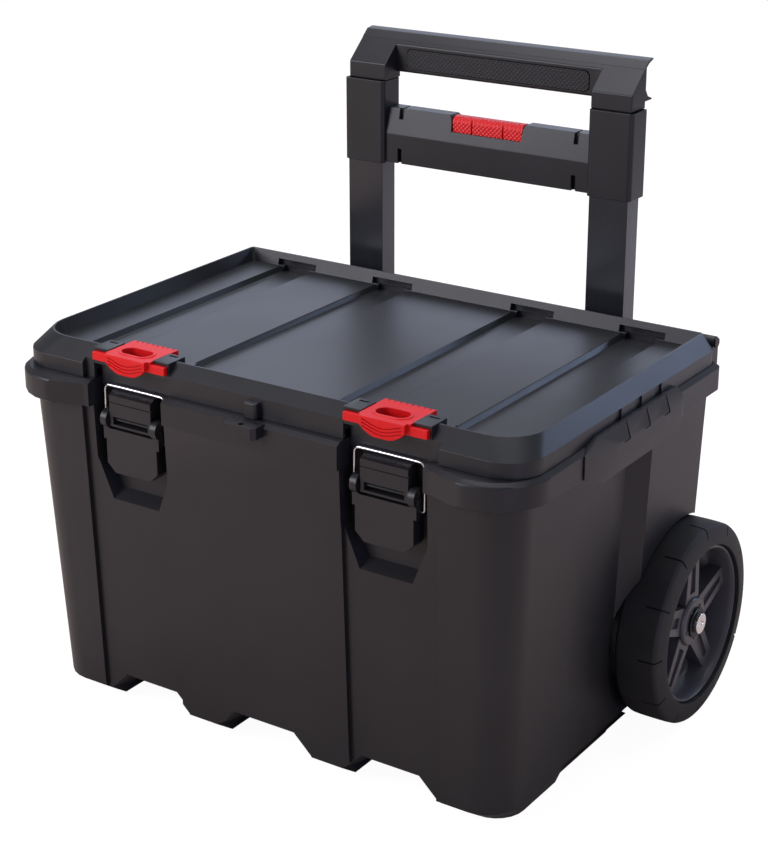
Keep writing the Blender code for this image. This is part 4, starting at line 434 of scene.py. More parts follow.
def outline(name: str, points: list[Point], filled: bool = True) -> Piece:
    """Adds a circle with as many vertices as points and puts each vertex on its point.

    Args:
        name: The piece's name.
        points: The outline's points, in order.
        filled: Whether the outline gets a face.

    Returns:
        The piece, all selected in edit mode.
    """
    select_only()
    fill = "NGON" if filled else "NOTHING"
    bpy.ops.mesh.primitive_circle_add(vertices=len(points), radius=1, fill_type=fill)
    piece = bpy.context.active_object
    piece.name = piece.data.name = name
    bpy.ops.object.mode_set(mode="EDIT")
    shape = bmesh.from_edit_mesh(piece.data)
    for vertex, point in zip(shape.verts, points):
        vertex.co = point
    bmesh.update_edit_mesh(piece.data)
    bpy.ops.mesh.select_all(action="SELECT")
    return piece


def slab(name: str, axis: Axis, low: float, high: float, pairs: Iterable[Pair]) -> Piece:
    """Extrudes an outline from low to high along an axis.

    Args:
        name: The piece's name.
        axis: The axis to extrude along.
        low: Where it starts.
        high: Where it ends.
        pairs: The outline's points in the other two coordinates.

    Returns:
        The piece, in object mode.
    """
    piece = outline(name, [(*pair[: axis.value], low, *pair[axis.value :]) for pair in pairs])
    way = [0.0, 0.0, 0.0]
    way[axis.value] = high - low
    bpy.ops.mesh.extrude_region_move(TRANSFORM_OT_translate={"value": tuple(way)})
    bpy.ops.mesh.select_all(action="SELECT")
    bpy.ops.mesh.normals_make_consistent()
    leave_edit()
    return piece


def block(name: str, centre: float, half: float, depths: Pair, levels: Pair) -> Piece:
    """Extrudes an upright block.

    Args:
        name: The block's name.
        centre: Its middle in x.
        half: Half its width.
        depths: Its front and its rear.
        levels: Its underside and its top.

    Returns:
        The block, in object mode.
    """
    left, right = centre - half, centre + half
    front, rear = depths
    low, top = levels
    return slab(name, Axis.Z, low, top, [(left, front), (right, front), (right, rear), (left, rear)])


def spun(name: str, centre: Point, profile: list[Pair], turns: list[float]) -> Piece:
    """Spins a closed profile round an axis along X.

    Args:
        name: The piece's name.
        centre: A point of the axis.
        profile: The profile's points as (x, radius).
        turns: The angles of the spin's steps, which add up to a full turn.

    Returns:
        The piece, in object mode.
    """
    points = [(x, centre[1] + radius, centre[2]) for x, radius in profile]
    piece = outline(name, points, filled=False)
    for turn in turns:
        bpy.ops.mesh.spin(steps=1, angle=turn, center=centre, axis=(1, 0, 0))
    bpy.ops.mesh.select_all(action="SELECT")
    bpy.ops.mesh.remove_doubles(threshold=MERGED)
    bpy.ops.mesh.normals_make_consistent()
    leave_edit()
    return piece


def boolean(piece: Piece, tool: Piece, operation: Operation) -> None:
    """Applies a Boolean modifier and removes its tool.

    Args:
        piece: The piece that changes.
        tool: The tool.
        operation: What is done with the tool.
    """
    modifier = piece.modifiers.new("boolean", "BOOLEAN")
    modifier.operation = operation.value
    modifier.solver = "EXACT"
    modifier.object = tool
    select_only(piece)
    bpy.ops.object.modifier_apply(modifier=modifier.name)
    bpy.data.objects.remove(tool)


def rounded_edges(
    piece: Piece, width: float, segments: int = 2, limit: float = 32.0, weighted: bool = False
) -> None:
    """Rounds the piece's sharp edges with a Bevel modifier and shades it.

    Args:
        piece: The piece.
        width: The rounding's width.
        segments: How many faces cross the rounding.
        limit: The least angle between faces, in degrees, that counts as an edge.
        weighted: Whether only the edges with a bevel weight are rounded.
    """
    bevel = piece.modifiers.new("rounding", "BEVEL")
    bevel.width = width
    bevel.segments = segments
    bevel.limit_method = "WEIGHT" if weighted else "ANGLE"
    bevel.angle_limit = math.radians(limit)
    bevel.miter_outer = "MITER_ARC"
    select_only(piece)
    bpy.ops.object.modifier_apply(modifier=bevel.name)
    bpy.ops.object.shade_smooth_by_angle(angle=math.radians(limit))
    weights = piece.modifiers.new("flats", "WEIGHTED_NORMAL")
    weights.keep_sharp = True
    bpy.ops.object.modifier_apply(modifier=weights.name)


def round_run(piece: Piece, width: float, test: Callable[[Vector, Vector], bool]) -> None:
    """Rounds the sharp edges that pass a test more broadly than the rest.

    Args:
        piece: The piece.
        width: The rounding's width.
        test: The test for an edge's middle and its direction.
    """

    def is_chosen(edge: Any) -> bool:
        """Tells whether an edge is sharp and passes the test."""
        start, end = (vertex.co for vertex in edge.verts)
        return edge.calc_face_angle(0.0) > math.radians(BROAD_ANGLE) and test((start + end) / 2, end - start)

    count = pick(piece, Element.EDGE, is_chosen)
    if count:
        bpy.ops.mesh.bevel(offset=width, **BROAD)
    leave_edit()
    LOG.info("%s: %d edges rounded by %.1f mm", piece.name, count, width * 1000)


def copied(node: str, name: str) -> Piece:
    """Copies a CAD node's solid, merges its loose triangles and joins the flat ones.

    Args:
        node: The CAD node.
        name: The copy's name.

    Returns:
        The copy, in object mode.
    """
    source = bpy.data.objects[node]
    piece = bpy.data.objects.new(name, source.data.copy())
    bpy.context.scene.collection.objects.link(piece)
    piece.data.name = name
    select_only(piece)
    bpy.ops.object.mode_set(mode="EDIT")
    bpy.ops.mesh.select_all(action="SELECT")
    bpy.ops.mesh.customdata_custom_splitnormals_clear()
    bpy.ops.mesh.remove_doubles(threshold=MERGED)
    bpy.ops.mesh.dissolve_limited(angle_limit=math.radians(CAD_FLAT))
    leave_edit()
    return piece


def dress(piece: Piece, body: str, finish: Material, slot: str, *nodes: str) -> None:
    """Gives a finished piece its material and its body, and hides the CAD nodes that it stands for.

    Args:
        piece: The piece.
        body: The body that it rides on.
        finish: Its material.
        slot: The record's material slot; not used.
        *nodes: The CAD nodes that it replaces.
    """
    piece.data.materials.clear()
    piece.data.materials.append(finish)
    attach(piece, body)
    if nodes:
        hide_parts(*nodes)
    LOG.info("%s rides on %s, %d faces", piece.name, body, len(piece.data.polygons))


def soften(node: str, body: str, finish: Material, slot: str, width: float, segments: int = 2) -> None:
    """Replaces a CAD node with a copy whose edges are rounded.

    Args:
        node: The CAD node.
        body: Its body.
        finish: Its material.
        slot: The record's material slot.
        width: The rounding's width.
        segments: How many faces cross the rounding.
    """
    piece = copied(node, node + "_moulding")
    rounded_edges(piece, width, segments)
    dress(piece, body, finish, slot, node)


def repaint(finish: Material, *nodes: str) -> None:
    """Gives CAD nodes that stay a better material.

    Args:
        finish: The material.
        *nodes: The nodes.
    """
    for node in nodes:
        materials = bpy.data.objects[node].data.materials
        materials.clear()
        materials.append(finish)
        LOG.info("%s keeps its CAD shape", node)


# Sub-assemblies


@dataclass
class Shell:
    """The tub, its side grips, guides and hinge pins, and the lid."""

    finishes: Finishes
    tub_edge: float = 0.0011
    lid_edge: float = 0.0009
    grip_edge: float = 0.0009
    flange_round: float = 0.0024
    flange_levels: Pair = (0.290, 0.310)
    flange_side: float = 0.250
    flange_front: float = -0.190
    corner_inner: float = 0.206
    corner_rear: float = -0.108
    channel_round: float = 0.0027
    channel_levels: Pair = (0.3215, 0.3285)
    channel_sides: Pair = (0.052, 0.214)
    channel_length: float = 0.05
    band_round: float = 0.0030
    band_top: float = 0.326
    band_side: float = 0.185
    band_rear: float = -0.060
    boss_round: float = 0.0010
    boss_half: float = 0.0075
    boss_rear: float = -0.1850
    boss_edge: float = 0.02
    hook_centres: tuple[float, ...] = (-0.187, -0.076, 0.076, 0.187)
    hook_half: float = 0.0225
    hook_depths: Pair = (0.1270, 0.1365)
    hook_levels: Pair = (0.3284, 0.3346)

    def build(self) -> None:
        """Rounds the mouldings and paints what stays."""
        self.tub()
        self.lid()
        for side in Side:
            for node in (f"side_grip_{side.label}", f"handle_guide_{side.label}"):
                soften(node, "tub", self.finishes.shell, "black_plastic", self.grip_edge)
            repaint(self.finishes.nylon, f"guide_bush_{side.label}")
            repaint(self.finishes.blackened, f"hinge_pin_{side.label}")
        repaint(self.finishes.seal, "lid_seal")

    def tub(self) -> None:
        """Rounds the tub, most along the flange's front corners."""
        tub = copied("tub", "tub_moulding")
        round_run(tub, self.flange_round, self.on_flange)
        rounded_edges(tub, self.tub_edge)
        dress(tub, "tub", self.finishes.shell, "black_plastic", "tub")

    def lid(self) -> None:
        """Rounds the lid, most along its channels and band, and opens the hook slots in its rear rim."""
        lid = copied("lid", "lid_moulding")
        round_run(lid, self.channel_round, self.on_channel)
        round_run(lid, self.band_round, self.on_band)
        round_run(lid, self.boss_round, self.on_boss)
        for centre in self.hook_centres:
            slot = block("hook slot", centre, self.hook_half, self.hook_depths, self.hook_levels)
            boolean(lid, slot, Operation.DIFFERENCE)
        rounded_edges(lid, self.lid_edge)
        dress(lid, "lid", self.finishes.lid, "black_plastic", "lid")

    def on_flange(self, middle: Vector, way: Vector) -> bool:
        """Tells whether an edge runs level along the outside of the flange's front corners.

        Args:
            middle: The edge's middle.
            way: Its direction and length.

        Returns:
            Whether it does.
        """
        level = any(abs(middle.z - height) < NEAR for height in self.flange_levels) and abs(way.z) < NEAR
        outside = abs(middle.x) > self.flange_side or middle.y < self.flange_front
        in_corner = abs(middle.x) > self.corner_inner and middle.y < self.corner_rear
        return level and outside and in_corner

    def on_channel(self, middle: Vector, way: Vector) -> bool:
        """Tells by its middle and direction whether an edge runs from front to back along a channel."""
        inside = within(self.channel_levels, middle.z) and within(self.channel_sides, abs(middle.x))
        return inside and abs(way.y) > self.channel_length and abs(way.x) < NEAR

    def on_band(self, middle: Vector, way: Vector) -> bool:
        """Tells by its middle and direction whether an edge runs round a front corner of the band's top."""
        level = abs(middle.z - self.band_top) < NEAR and abs(way.z) < NEAR
        return level and abs(middle.x) > self.band_side and middle.y < self.band_rear

    def on_boss(self, middle: Vector, way: Vector) -> bool:
        """Tells by its middle and length whether an edge is of the small boss over the padlock tab."""
        return abs(middle.x) < self.boss_half and middle.y < self.boss_rear and way.length < self.boss_edge


@dataclass
class Latch:
    """One wire latch: lever, pin and bail."""

    finishes: Finishes
    side: Side
    edge: float = 0.0007

    def build(self) -> None:
        """Rounds the lever and smooths the wire."""
        label = self.side.label
        soften(f"latch_lever_{label}", f"lever_{label}", self.finishes.fitting, "black_plastic", self.edge)
        repaint(self.finishes.blackened, f"latch_pin_{label}")
        wire = copied(f"latch_bail_{label}", f"latch_bail_{label}_wire")
        smooth = wire.modifiers.new("round", "SUBSURF")
        smooth.levels = smooth.render_levels = 1
        select_only(wire)
        bpy.ops.object.modifier_apply(modifier=smooth.name)
        bpy.ops.object.shade_smooth()
        dress(wire, f"bail_{label}", self.finishes.wire, "bright_steel", f"latch_bail_{label}")


@dataclass
class SlidingLock:
    """One red sliding lock and its two black covers. The nose's half is across and up, from its right top."""

    finishes: Finishes
    side: Side
    latch_x: float = 0.1288
    edge: float = 0.0007
    edge_limit: float = 40.0
    half: float = 0.024
    front: float = -0.1883
    rear: float = -0.1503
    low: float = 0.3309
    top: float = 0.3404
    teeth: int = 8
    tooth: float = 0.0026
    tooth_margin: float = 0.002
    notch: float = 0.0013
    wing_half: float = 0.039
    wing_top: float = 0.338
    wing_rear: float = -0.1664
    nose_front: float = -0.1923
    nose_rear: float = -0.1854
    nose_half: tuple[Pair, ...] = (
        (0.0212, 0.3404), (0.0212, 0.3330), (0.0170, 0.3288), (0.0105, 0.3254), (0.0060, 0.3245),
    )
    pocket_half: float = 0.0150
    pocket_front: float = -0.1832
    pocket_rear: float = -0.1676
    oval_points: int = 24
    lip: float = 0.0024
    lip_rise: float = 0.0008
    lip_sink: float = 0.0005
    groove_drops: tuple[float, ...] = (0.0022, 0.0050, 0.0078)
    groove_half: float = 0.0185
    groove_width: float = 0.0011
    groove_depth: float = 0.0013
    groove_sag: float = 0.0045
    groove_bend: float = 1.5
    groove_steps: int = 6
    cover_edge: float = 0.0005
    slot_half: float = 0.0045
    slot_inset: float = 0.0035
    slot_width: float = 0.0028
    slot_depth: float = 0.0010

    def build(self) -> None:
        """Models the lock, and rounds its covers."""
        label = self.side.label
        centre = self.side.value * self.latch_x
        lock = self.plate(centre)
        depths, levels = (self.front, self.wing_rear), (self.low, self.wing_top)
        boolean(lock, block("wings", centre, self.wing_half, depths, levels), Operation.UNION)
        nose = [(centre + x, z) for x, z in self.nose_half]
        nose += [(centre - x, z) for x, z in reversed(self.nose_half)]
        boolean(lock, slab("nose", Axis.Y, self.nose_front, self.nose_rear, nose), Operation.UNION)
        lip = self.oval("lip", centre, self.lip, (self.top - self.lip_sink, self.top + self.lip_rise))
        boolean(lock, lip, Operation.UNION)
        pocket = self.oval("pocket", centre, 0.0, (self.low - OVERLAP, self.top + 2 * OVERLAP))
        boolean(lock, pocket, Operation.DIFFERENCE)
        rounded_edges(lock, self.edge, limit=self.edge_limit)
        for drop in self.groove_drops:
            boolean(lock, self.groove(centre, drop), Operation.DIFFERENCE)
        lock.name = lock.data.name = f"lock_{label}_slider"
        dress(lock, f"lock_{label}", self.finishes.red, "red_plastic", f"lock_{label}")
        for place in ("outer", "inner"):
            self.cover(f"lock_cover_{label}_{place}")

    def cover(self, node: str) -> None:
        """Rounds a cover and sinks the small slot in its top.

        Args:
            node: Its CAD node.
        """
        cover = copied(node, node + "_moulding")
        low, (right, rear, top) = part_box(node)
        rear -= self.slot_inset
        depths, levels = (rear - self.slot_width, rear), (top - self.slot_depth, top + OVERLAP)
        slot = block("slot", (low[0] + right) / 2, self.slot_half, depths, levels)
        rounded_edges(cover, self.cover_edge)
        boolean(cover, slot, Operation.DIFFERENCE)
        dress(cover, "lid", self.finishes.fitting, "black_plastic", node)

    def plate(self, centre: float) -> Piece:
        """Models the top plate with its toothed rear edge.

        Args:
            centre: The lock's middle.

        Returns:
            The plate.
        """
        left, right = centre - self.half, centre + self.half
        inner = self.rear - self.tooth
        step = 2 * (self.half - self.tooth_margin) / self.teeth
        points = [(left, self.front), (right, self.front), (right, self.rear)]
        for index in range(self.teeth):
            middle = right - self.tooth_margin - step * (index + 0.5)
            near, far = middle + self.notch / 2, middle - self.notch / 2
            points += [(near, self.rear), (near, inner), (far, inner), (far, self.rear)]
        points.append((left, self.rear))
        return slab("lock", Axis.Z, self.low, self.top, points)

    def oval(self, name: str, centre: float, grow: float, levels: Pair) -> Piece:
        """Models an upright oval block of the finger pocket's outline.

        Args:
            name: Its name.
            centre: The lock's middle.
            grow: How far the outline lies outside the pocket's.
            levels: Its underside and its top.

        Returns:
            The block.
        """
        middle = (self.pocket_front + self.pocket_rear) / 2
        radius = (self.pocket_rear - self.pocket_front) / 2 + grow
        reach = self.pocket_half + grow - radius
        points = []
        for index in range(self.oval_points):
            angle = math.tau * (index + 0.5) / self.oval_points
            offset = math.copysign(reach, math.cos(angle))
            points.append((centre + offset + radius * math.cos(angle), middle + radius * math.sin(angle)))
        return slab(name, Axis.Z, *levels, points)

    def groove(self, centre: float, drop: float) -> Piece:
        """Models the cutter for one curved groove across the nose.

        Args:
            centre: The lock's middle.
            drop: How far below the top the groove's ends lie.

        Returns:
            The cutter.
        """
        upper = []
        for index in range(2 * self.groove_steps + 1):
            share = index / self.groove_steps - 1
            sag = self.groove_sag * (1 - share * share) ** self.groove_bend
            upper.append((centre + share * self.groove_half, self.top - drop - sag))
        lower = [(x, z - self.groove_width) for x, z in reversed(upper)]
        front, rear = self.nose_front - OVERLAP, self.nose_front + self.groove_depth
        return slab("groove", Axis.Y, front, rear, upper + lower)


@dataclass
class Wheel:
    """One wheel: tyre, spoked centre and bush, with the washer and screw that hold it.

    The profiles' points are the distance from the wheel's inner face and the radius. The tyre's is one half.
    """

    finishes: Finishes
    side: Side
    y: float = 0.0870
    z: float = 0.0912
    inner_x: float = 0.2383
    outer_x: float = 0.2826
    edge: float = 0.0005
    edge_limit: float = 25.0
    washer_edge: float = 0.0003
    screw_edge: float = 0.0007
    blocks: int = 12
    block_steps: int = 6
    groove: float = 0.016
    groove_reach: float = 0.3
    groove_radius: float = 0.0830
    groove_inner: float = 0.0245
    groove_rim: float = 0.0002
    groove_depth: float = 0.0018
    tyre_half: tuple[Pair, ...] = (
        (0.0000, 0.0722), (0.0000, 0.0757), (0.0008, 0.0810), (0.0018, 0.0864), (0.0030, 0.0893),
        (0.0052, 0.0907), (0.0110, 0.0911), (0.0200, 0.0912),
    )
    rim_profile: tuple[Pair, ...] = (
        (0.0040, 0.0662), (0.0040, 0.0716), (0.0405, 0.0716), (0.0412, 0.0707), (0.0412, 0.0690),
        (0.0395, 0.0684), (0.0360, 0.0668), (0.0200, 0.0650), (0.0190, 0.0650),
    )
    core_profile: tuple[Pair, ...] = (
        (0.0003, 0.0114), (0.0003, 0.0205), (0.0325, 0.0224), (0.0345, 0.0212), (0.0352, 0.0190),
        (0.0352, 0.0114),
    )
    turn_steps: int = 48
    spokes: int = 5
    spoke_foot: Pair = (0.0195, 0.0128)
    spoke_head: Pair = (0.0685, 0.0096)
    spoke_inner: float = 0.0177
    spoke_outer: float = 0.0126
    spoke_edge: float = 0.0007
    web_radius: float = 0.0435
    web_reach: float = 0.004
    web_inset: float = 0.0074
    web_depth: float = 0.0030
    stud_ring: float = 0.0155
    stud_foot: float = 0.0345
    stud_radius: float = 0.0016
    stud_rise: float = 0.0016
    stud_points: int = 12
    stud_edge: float = 0.0004

    @property
    def axle(self) -> Point:
        """A point of the wheel's axis."""
        return 0.0, self.y, self.z

    def at(self, profile: Iterable[Pair]) -> list[Pair]:
        """Puts a profile's points, which are (distance, radius), on this side as (x, radius)."""
        return [(self.side.value * (self.inner_x + distance), radius) for distance, radius in profile]

    def build(self) -> None:
        """Models the tyre and the centre, and rounds the small parts."""
        label = self.side.label
        body = f"wheel_{label}"
        tyre = self.tyre(f"tyre_{label}_tread")
        dress(tyre, body, self.finishes.rubber, "soft_rubber", f"tyre_{label}")
        centre = self.centre(f"wheel_hub_{label}_centre")
        dress(centre, body, self.finishes.hub, "black_plastic", f"wheel_hub_{label}")
        repaint(self.finishes.nylon, f"hub_bush_{label}")
        repaint(self.finishes.steel, f"axle_{label}")
        soften(f"axle_washer_{label}", "tub", self.finishes.blackened, "plain_steel", self.washer_edge)
        soften(f"axle_screw_{label}", "tub", self.finishes.screw, "bright_steel", self.screw_edge, 3)

    def tyre(self, name: str) -> Piece:
        """Spins the tyre in blocks and sinks the narrow step between them into a groove.

        Args:
            name: The tyre's name.

        Returns:
            The tyre.
        """
        wide = (math.tau / self.blocks - self.groove) / self.block_steps
        width = self.outer_x - self.inner_x
        mirrored = [(width - distance, radius) for distance, radius in reversed(self.tyre_half)]
        profile = self.at([*self.tyre_half, *mirrored])
        tyre = spun(name, self.axle, profile, [*[wide] * self.block_steps, self.groove] * self.blocks)
        pick(tyre, Element.FACE, self.in_groove)
        bpy.ops.mesh.inset(thickness=self.groove_rim, depth=-self.groove_depth)
        leave_edit()
        rounded_edges(tyre, self.edge, limit=self.edge_limit)
        return tyre

    def in_groove(self, face: Any) -> bool:
        """Tells whether a face lies on the outer tread inside a groove's narrow step.

        Args:
            face: The face.

        Returns:
            Whether it does.
        """
        whole, half = math.tau / self.blocks, self.groove / 2
        place = face.calc_center_median() - Vector(self.axle)
        angle = (math.atan2(place.z, place.y) + math.tau) % whole
        inside = min(abs(angle - half), abs(angle - whole + half)) < self.groove * self.groove_reach
        outer = abs(place.x) > self.inner_x + self.groove_inner
        return inside and outer and math.hypot(place.y, place.z) > self.groove_radius

    def centre(self, name: str) -> Piece:
        """Joins rim, spokes, studs and core.

        Args:
            name: The centre's name.

        Returns:
            The wheel's centre.
        """
        turns = [math.tau / self.turn_steps] * self.turn_steps
        rim = spun("rim", self.axle, self.at(self.rim_profile), turns)
        core = spun("core", self.axle, self.at(self.core_profile), turns)
        for ring in (rim, core):
            rounded_edges(ring, self.edge, limit=self.edge_limit)
        spokes = [self.spoke(index) for index in range(self.spokes)]
        studs = [self.stud(index) for index in range(self.spokes)]
        select_only(*spokes, *studs, rim, core)
        bpy.ops.object.join()
        core.name = core.data.name = name
        return core

    def angle(self, index: float) -> float:
        """Gives the angle of a spoke by its number, the first of which stands upright."""
        return math.tau * index / self.spokes + math.pi / 2

    def polar(self, angle: float, radius: float, aside: float) -> Pair:
        """Gives the y and z of a place at a distance along and a distance across an angle's direction."""
        y = self.y + radius * math.cos(angle) - aside * math.sin(angle)
        return y, self.z + radius * math.sin(angle) + aside * math.cos(angle)

    def spoke(self, index: int) -> Piece:
        """Models one spoke: two ribs on a web that is sunk between them.

        Args:
            index: The spoke's number.

        Returns:
            The spoke.
        """
        angle = self.angle(index)
        (foot, foot_half), (head, head_half) = self.spoke_foot, self.spoke_head
        sides = [(foot, -foot_half), (head, -head_half), (head, head_half), (foot, foot_half)]
        low = self.side.value * (self.inner_x + self.spoke_inner)
        high = self.side.value * (self.outer_x - self.spoke_outer)
        spoke = slab("spoke", Axis.X, low, high, [self.polar(angle, *side) for side in sides])
        pick(spoke, Element.FACE, lambda face: lies_at(face, Axis.X, high))
        bpy.ops.mesh.inset(thickness=self.web_inset)
        web = Vector((high, *self.polar(angle, self.web_radius, 0)))
        pick(spoke, Element.FACE, lambda face: (face.calc_center_median() - web).length < self.web_reach)
        inwards = (-self.side.value * self.web_depth, 0, 0)
        bpy.ops.mesh.extrude_region_move(TRANSFORM_OT_translate={"value": inwards})
        leave_edit()
        rounded_edges(spoke, self.spoke_edge)
        return spoke

    def stud(self, index: int) -> Piece:
        """Models one small stud on the core, between two spokes.

        Args:
            index: The stud's number.

        Returns:
            The stud.
        """
        y, z = self.polar(self.angle(index + 0.5), self.stud_ring, 0)
        ring = []
        for number in range(self.stud_points):
            turn = math.tau * number / self.stud_points
            ring.append((y + self.stud_radius * math.cos(turn), z + self.stud_radius * math.sin(turn)))
        face = self.side.value * (self.inner_x + self.stud_foot)
        stud = slab("stud", Axis.X, face, face + self.side.value * self.stud_rise, ring)
        rounded_edges(stud, self.stud_edge)
        return stud


@dataclass
class Handle:
    """The two-stage handle: posts, yoke, release button, tubes and grip."""

    finishes: Finishes
    post_edge: float = 0.0012
    pad_edge: float = 0.0002
    yoke_edge: float = 0.0010
    yoke_split: float = 0.1806
    grip_edge: float = 0.0012
    grip_split: float = 0.1911
    seam_share: float = 0.1
    seam_near: float = 0.0002
    least_turn: float = 8.0
    seat_half: float = 0.045
    seat_levels: Pair = (0.4660, 0.4745)
    sleeve_round: float = 0.0014
    sleeve_sides: Pair = (0.1075, 0.1530)
    sleeve_top: float = 0.5142
    bore_sides: Pair = (0.1106, 0.1500)
    bore_depths: Pair = (0.1670, 0.1929)
    spring_foot: float = 0.4453
    spring_keep: float = 0.79
    button_edge: float = 0.0010
    button_low: float = 0.4710
    button_room: float = 0.0003

    def build(self) -> None:
        """Rounds the handle's parts, and paints what stays."""
        finishes = self.finishes
        for half in ("front", "rear"):
            self.half_shell(f"yoke_{half}", "handle_outer", self.yoke_edge, self.yoke_split)
            self.half_shell(f"grip_{half}", "handle_inner", self.grip_edge, self.grip_split)
        soften("grip_pad", "handle_inner", finishes.pad, "soft_rubber", self.pad_edge)
        for side in Side:
            label = side.label
            soften(f"post_{label}", "handle_outer", finishes.tube, "painted_tube", self.post_edge)
            repaint(finishes.tube, f"inner_tube_{label}")
            repaint(finishes.nylon, f"post_bush_{label}", f"tube_stop_{label}")
            repaint(finishes.steel, f"lock_bolt_{label}")
        self.spring()
        self.button()

    def half_shell(self, node: str, body: str, width: float, split: float) -> None:
        """Replaces one half of a two-part moulding with a copy that is rounded everywhere but at its seam.

        The seam's gap is narrowed, as the real halves are pressed together.

        Args:
            node: The CAD node.
            body: Its body.
            width: The rounding's width.
            split: The seam's place in y.
        """
        piece = copied(node, node + "_moulding")
        pick(piece, Element.FACE, lambda face: lies_at(face, Axis.Y, split, self.seam_near))
        bpy.ops.transform.resize(value=(1, self.seam_share, 1), center_override=(0, split, 0))
        if pick(piece, Element.EDGE, lambda edge: self.is_rounded(edge, split) and self.on_sleeve(edge)):
            bpy.ops.mesh.bevel(offset=self.sleeve_round, **BROAD)
        pick(piece, Element.EDGE, lambda edge: self.is_rounded(edge, split) and not self.on_sleeve(edge))
        bpy.ops.transform.edge_bevelweight(value=1.0)
        leave_edit()
        rounded_edges(piece, width, weighted=True)
        dress(piece, body, self.finishes.fitting, "black_plastic", node)

    def is_rounded(self, edge: Any, split: float) -> bool:
        """Tells whether an edge sticks out sharply and is clear of the seam and of the button's seat.

        Args:
            edge: The edge.
            split: The seam's place in y.

        Returns:
            Whether it does.
        """
        places = [vertex.co for vertex in edge.verts]
        at_seam = lies_at(edge, Axis.Y, split, self.seam_near)
        at_seat = all(abs(place.x) < self.seat_half and within(self.seat_levels, place.z) for place in places)
        sharp = edge.is_convex and edge.calc_face_angle(0.0) > math.radians(self.least_turn)
        return sharp and not at_seam and not at_seat

    def on_sleeve(self, edge: Any) -> bool:
        """Tells whether an edge lies on the outside of a sleeve.

        Args:
            edge: The edge.

        Returns:
            Whether it does.
        """
        middle = (edge.verts[0].co + edge.verts[1].co) / 2
        along = abs(middle.x)
        in_bore = within(self.bore_sides, along) and within(self.bore_depths, middle.y)
        return within(self.sleeve_sides, along) and middle.z < self.sleeve_top and not in_bore

    def spring(self) -> None:
        """Smooths the button's spring and gives it a mesh of its own. Its shortening as the button goes down
        is not modelled here.
        """
        spring = copied("button_spring", "button_spring_coil")
        select_only(spring)
        bpy.ops.object.shade_smooth()
        dress(spring, "handle_outer", self.finishes.steel, "plain_steel", "button_spring")
        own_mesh(spring)

    def button(self) -> None:
        """Rounds the release button and lifts its underside, so that it stays clear of its seat."""
        button = copied("release_button", "release_button_moulding")
        pick(button, Element.FACE, lambda face: lies_at(face, Axis.Z, self.button_low))
        bpy.ops.transform.translate(value=(0, 0, self.button_room))
        leave_edit()
        rounded_edges(button, self.button_edge, 3)
        dress(button, "button", self.finishes.red_dots, "red_plastic", "release_button")


@dataclass(frozen=True)
class Lamp:
    """One soft lamp: its name, place, width and height, power in watts, colour and what it points at."""

    name: str
    place: Point
    sizes: Pair
    power: float
    colour: str
    aim: Point | None = None


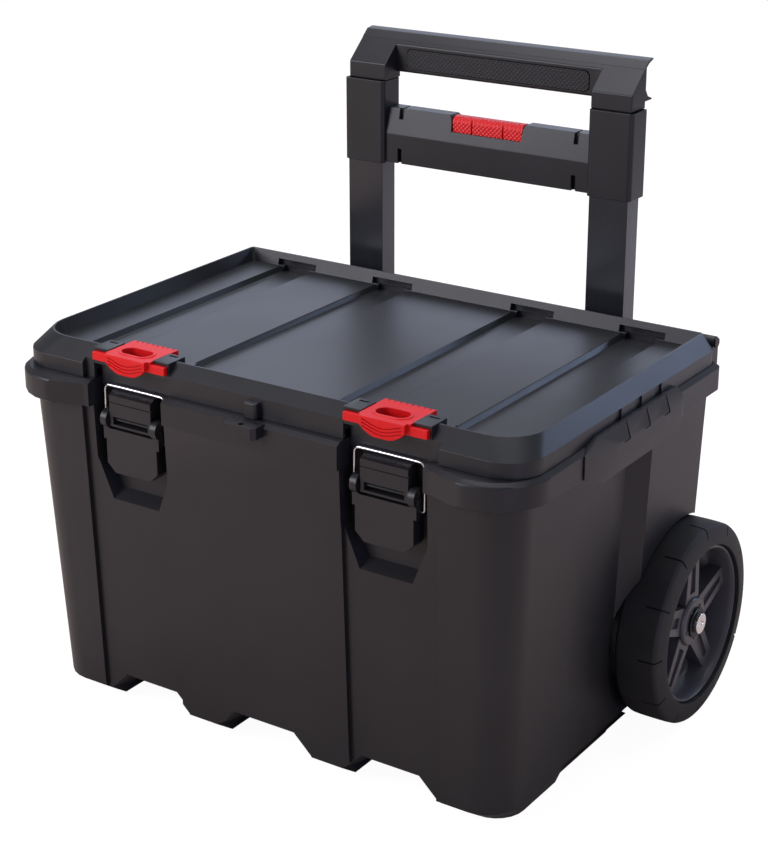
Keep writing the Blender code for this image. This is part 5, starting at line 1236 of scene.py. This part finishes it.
@dataclass
class Studio:
    """The camera, floor, world and lamps. Angles are radians."""

    place: Point = (0.9254, -1.3779, 0.8893)
    azimuth: float = 0.5901
    elevation: float = 0.3684
    roll: float = -0.0014
    lens: float = 85.08
    sensor: float = 36.0
    middle: Point = (0.0, 0.0, 0.25)
    lamps: tuple[Lamp, ...] = (
        Lamp("fill", (-1.4, -1.9, 1.3), (1.3, 1.3), 42.5, "#f6f4ff"),
        Lamp("top", (-0.3, 0.5, 2.5), (1.8, 1.8), 36.0, "#f6f6ff"),
        Lamp("back", (-1.3, 2.0, 1.55), (1.6, 1.6), 11.5, "#d8e2ff"),
        Lamp("side", (2.3, 0.3, 0.9), (1.0, 1.0), 3.0, "#ffe9d8"),
        Lamp("edge", (1.9, -1.25, 0.45), (0.16, 1.1), 8.0, "#a9bcff"),
        Lamp("bounce", (0.95, 1.35, 0.8), (0.6, 0.6), 13.0, "#bcd2ff", (0.95, 1.35, 0.0)),
    )
    floor_size: float = 60.0
    floor_drop: float = 0.0002
    floor_colour: str = "#dcc9bd"
    floor_glow: float = 1.20
    floor_share: float = 0.80
    world_colour: str = "#eef1f6"
    world_light: float = 0.34

    def build(self) -> None:
        """Sets up the studio."""
        self.camera()
        self.floor()
        self.world()
        for lamp in self.lamps:
            self.light(lamp)
        bpy.context.scene.view_settings.view_transform = "Standard"

    def camera(self) -> None:
        """Adds the camera at the photograph's viewing angle."""
        sine, cosine = math.sin(self.azimuth), math.cos(self.azimuth)
        down, level = math.sin(self.elevation), math.cos(self.elevation)
        ahead = Vector((-sine * level, cosine * level, -down))
        right = Vector((cosine, sine, 0.0))
        above = right.cross(ahead)
        rolled_right = right * math.cos(self.roll) + above * math.sin(self.roll)
        rolled_above = above * math.cos(self.roll) - right * math.sin(self.roll)
        data = bpy.data.cameras.new("camera")
        data.lens = self.lens
        data.sensor_width = self.sensor
        camera = bpy.data.objects.new("camera", data)
        turn = Matrix((rolled_right, rolled_above, -ahead)).transposed().to_4x4()
        camera.matrix_world = Matrix.Translation(self.place) @ turn
        bpy.context.scene.collection.objects.link(camera)
        bpy.context.scene.camera = camera

    def floor(self) -> None:
        """Adds the pale floor, which the camera sees as nearly white with the object's shadow on it."""
        select_only()
        bpy.ops.mesh.primitive_plane_add(size=self.floor_size, location=(0, 0, -self.floor_drop))
        floor = bpy.context.active_object
        floor.name = "floor"
        bpy.ops.object.transform_apply()
        made, tree = empty_material("pale floor")
        seen = add_node(tree, "LightPath", {}, {}).outputs["Is Camera Ray"]
        matt = add_node(tree, "BsdfDiffuse", {"Color": linear(self.floor_colour)}, {})
        glow = add_node(tree, "Emission", {"Strength": self.floor_glow}, {})
        share = add_node(tree, "Math", {"operation": "MULTIPLY", 1: self.floor_share}, {0: seen})
        both = add_node(tree, "MixShader", {}, {0: share.outputs[0], 1: matt.outputs[0], 2: glow.outputs[0]})
        add_node(tree, "OutputMaterial", {}, {"Surface": both.outputs[0]})
        floor.data.materials.append(made)

    def world(self) -> None:
        """Makes the world white to the camera, also through glass, and a plain grey light elsewhere."""
        world = bpy.data.worlds.new("studio")
        bpy.context.scene.world = world
        world.use_nodes = True
        tree = world.node_tree
        tree.nodes.clear()
        rays = add_node(tree, "LightPath", {}, {}).outputs
        seen = {0: rays["Is Camera Ray"], 1: rays["Is Transmission Ray"]}
        clear = add_node(tree, "Math", {"operation": "MAXIMUM"}, seen)
        grey = {"Color": linear(self.world_colour), "Strength": self.world_light}
        lit = add_node(tree, "Background", grey, {})
        white = add_node(tree, "Background", {"Color": linear("#ffffff"), "Strength": 1.0}, {})
        both = add_node(tree, "MixShader", {}, {0: clear.outputs[0], 1: lit.outputs[0], 2: white.outputs[0]})
        add_node(tree, "OutputWorld", {}, {"Surface": both.outputs[0]})

    def light(self, lamp: Lamp) -> None:
        """Adds one soft lamp, which points at the toolbox unless it has an aim of its own.

        Args:
            lamp: The lamp.
        """
        data = bpy.data.lights.new(lamp.name, "AREA")
        data.shape = "RECTANGLE"
        data.size, data.size_y = lamp.sizes
        data.energy = lamp.power
        data.color = linear(lamp.colour)[:3]
        made = bpy.data.objects.new(lamp.name, data)
        made.location = lamp.place
        made.visible_camera = False
        way = Vector(lamp.aim or self.middle) - Vector(lamp.place)
        made.rotation_euler = way.to_track_quat("-Z", "Y").to_euler()
        bpy.context.scene.collection.objects.link(made)


def main() -> None:
    """Builds the studio and dresses every sub-assembly."""
    logging.basicConfig(level=logging.INFO, format="%(message)s")
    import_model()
    Studio().build()
    finishes = Finishes()
    Shell(finishes).build()
    for side in Side:
        Latch(finishes, side).build()
        SlidingLock(finishes, side).build()
        Wheel(finishes, side).build()
    Handle(finishes).build()


if __name__ == "__main__":
    main()
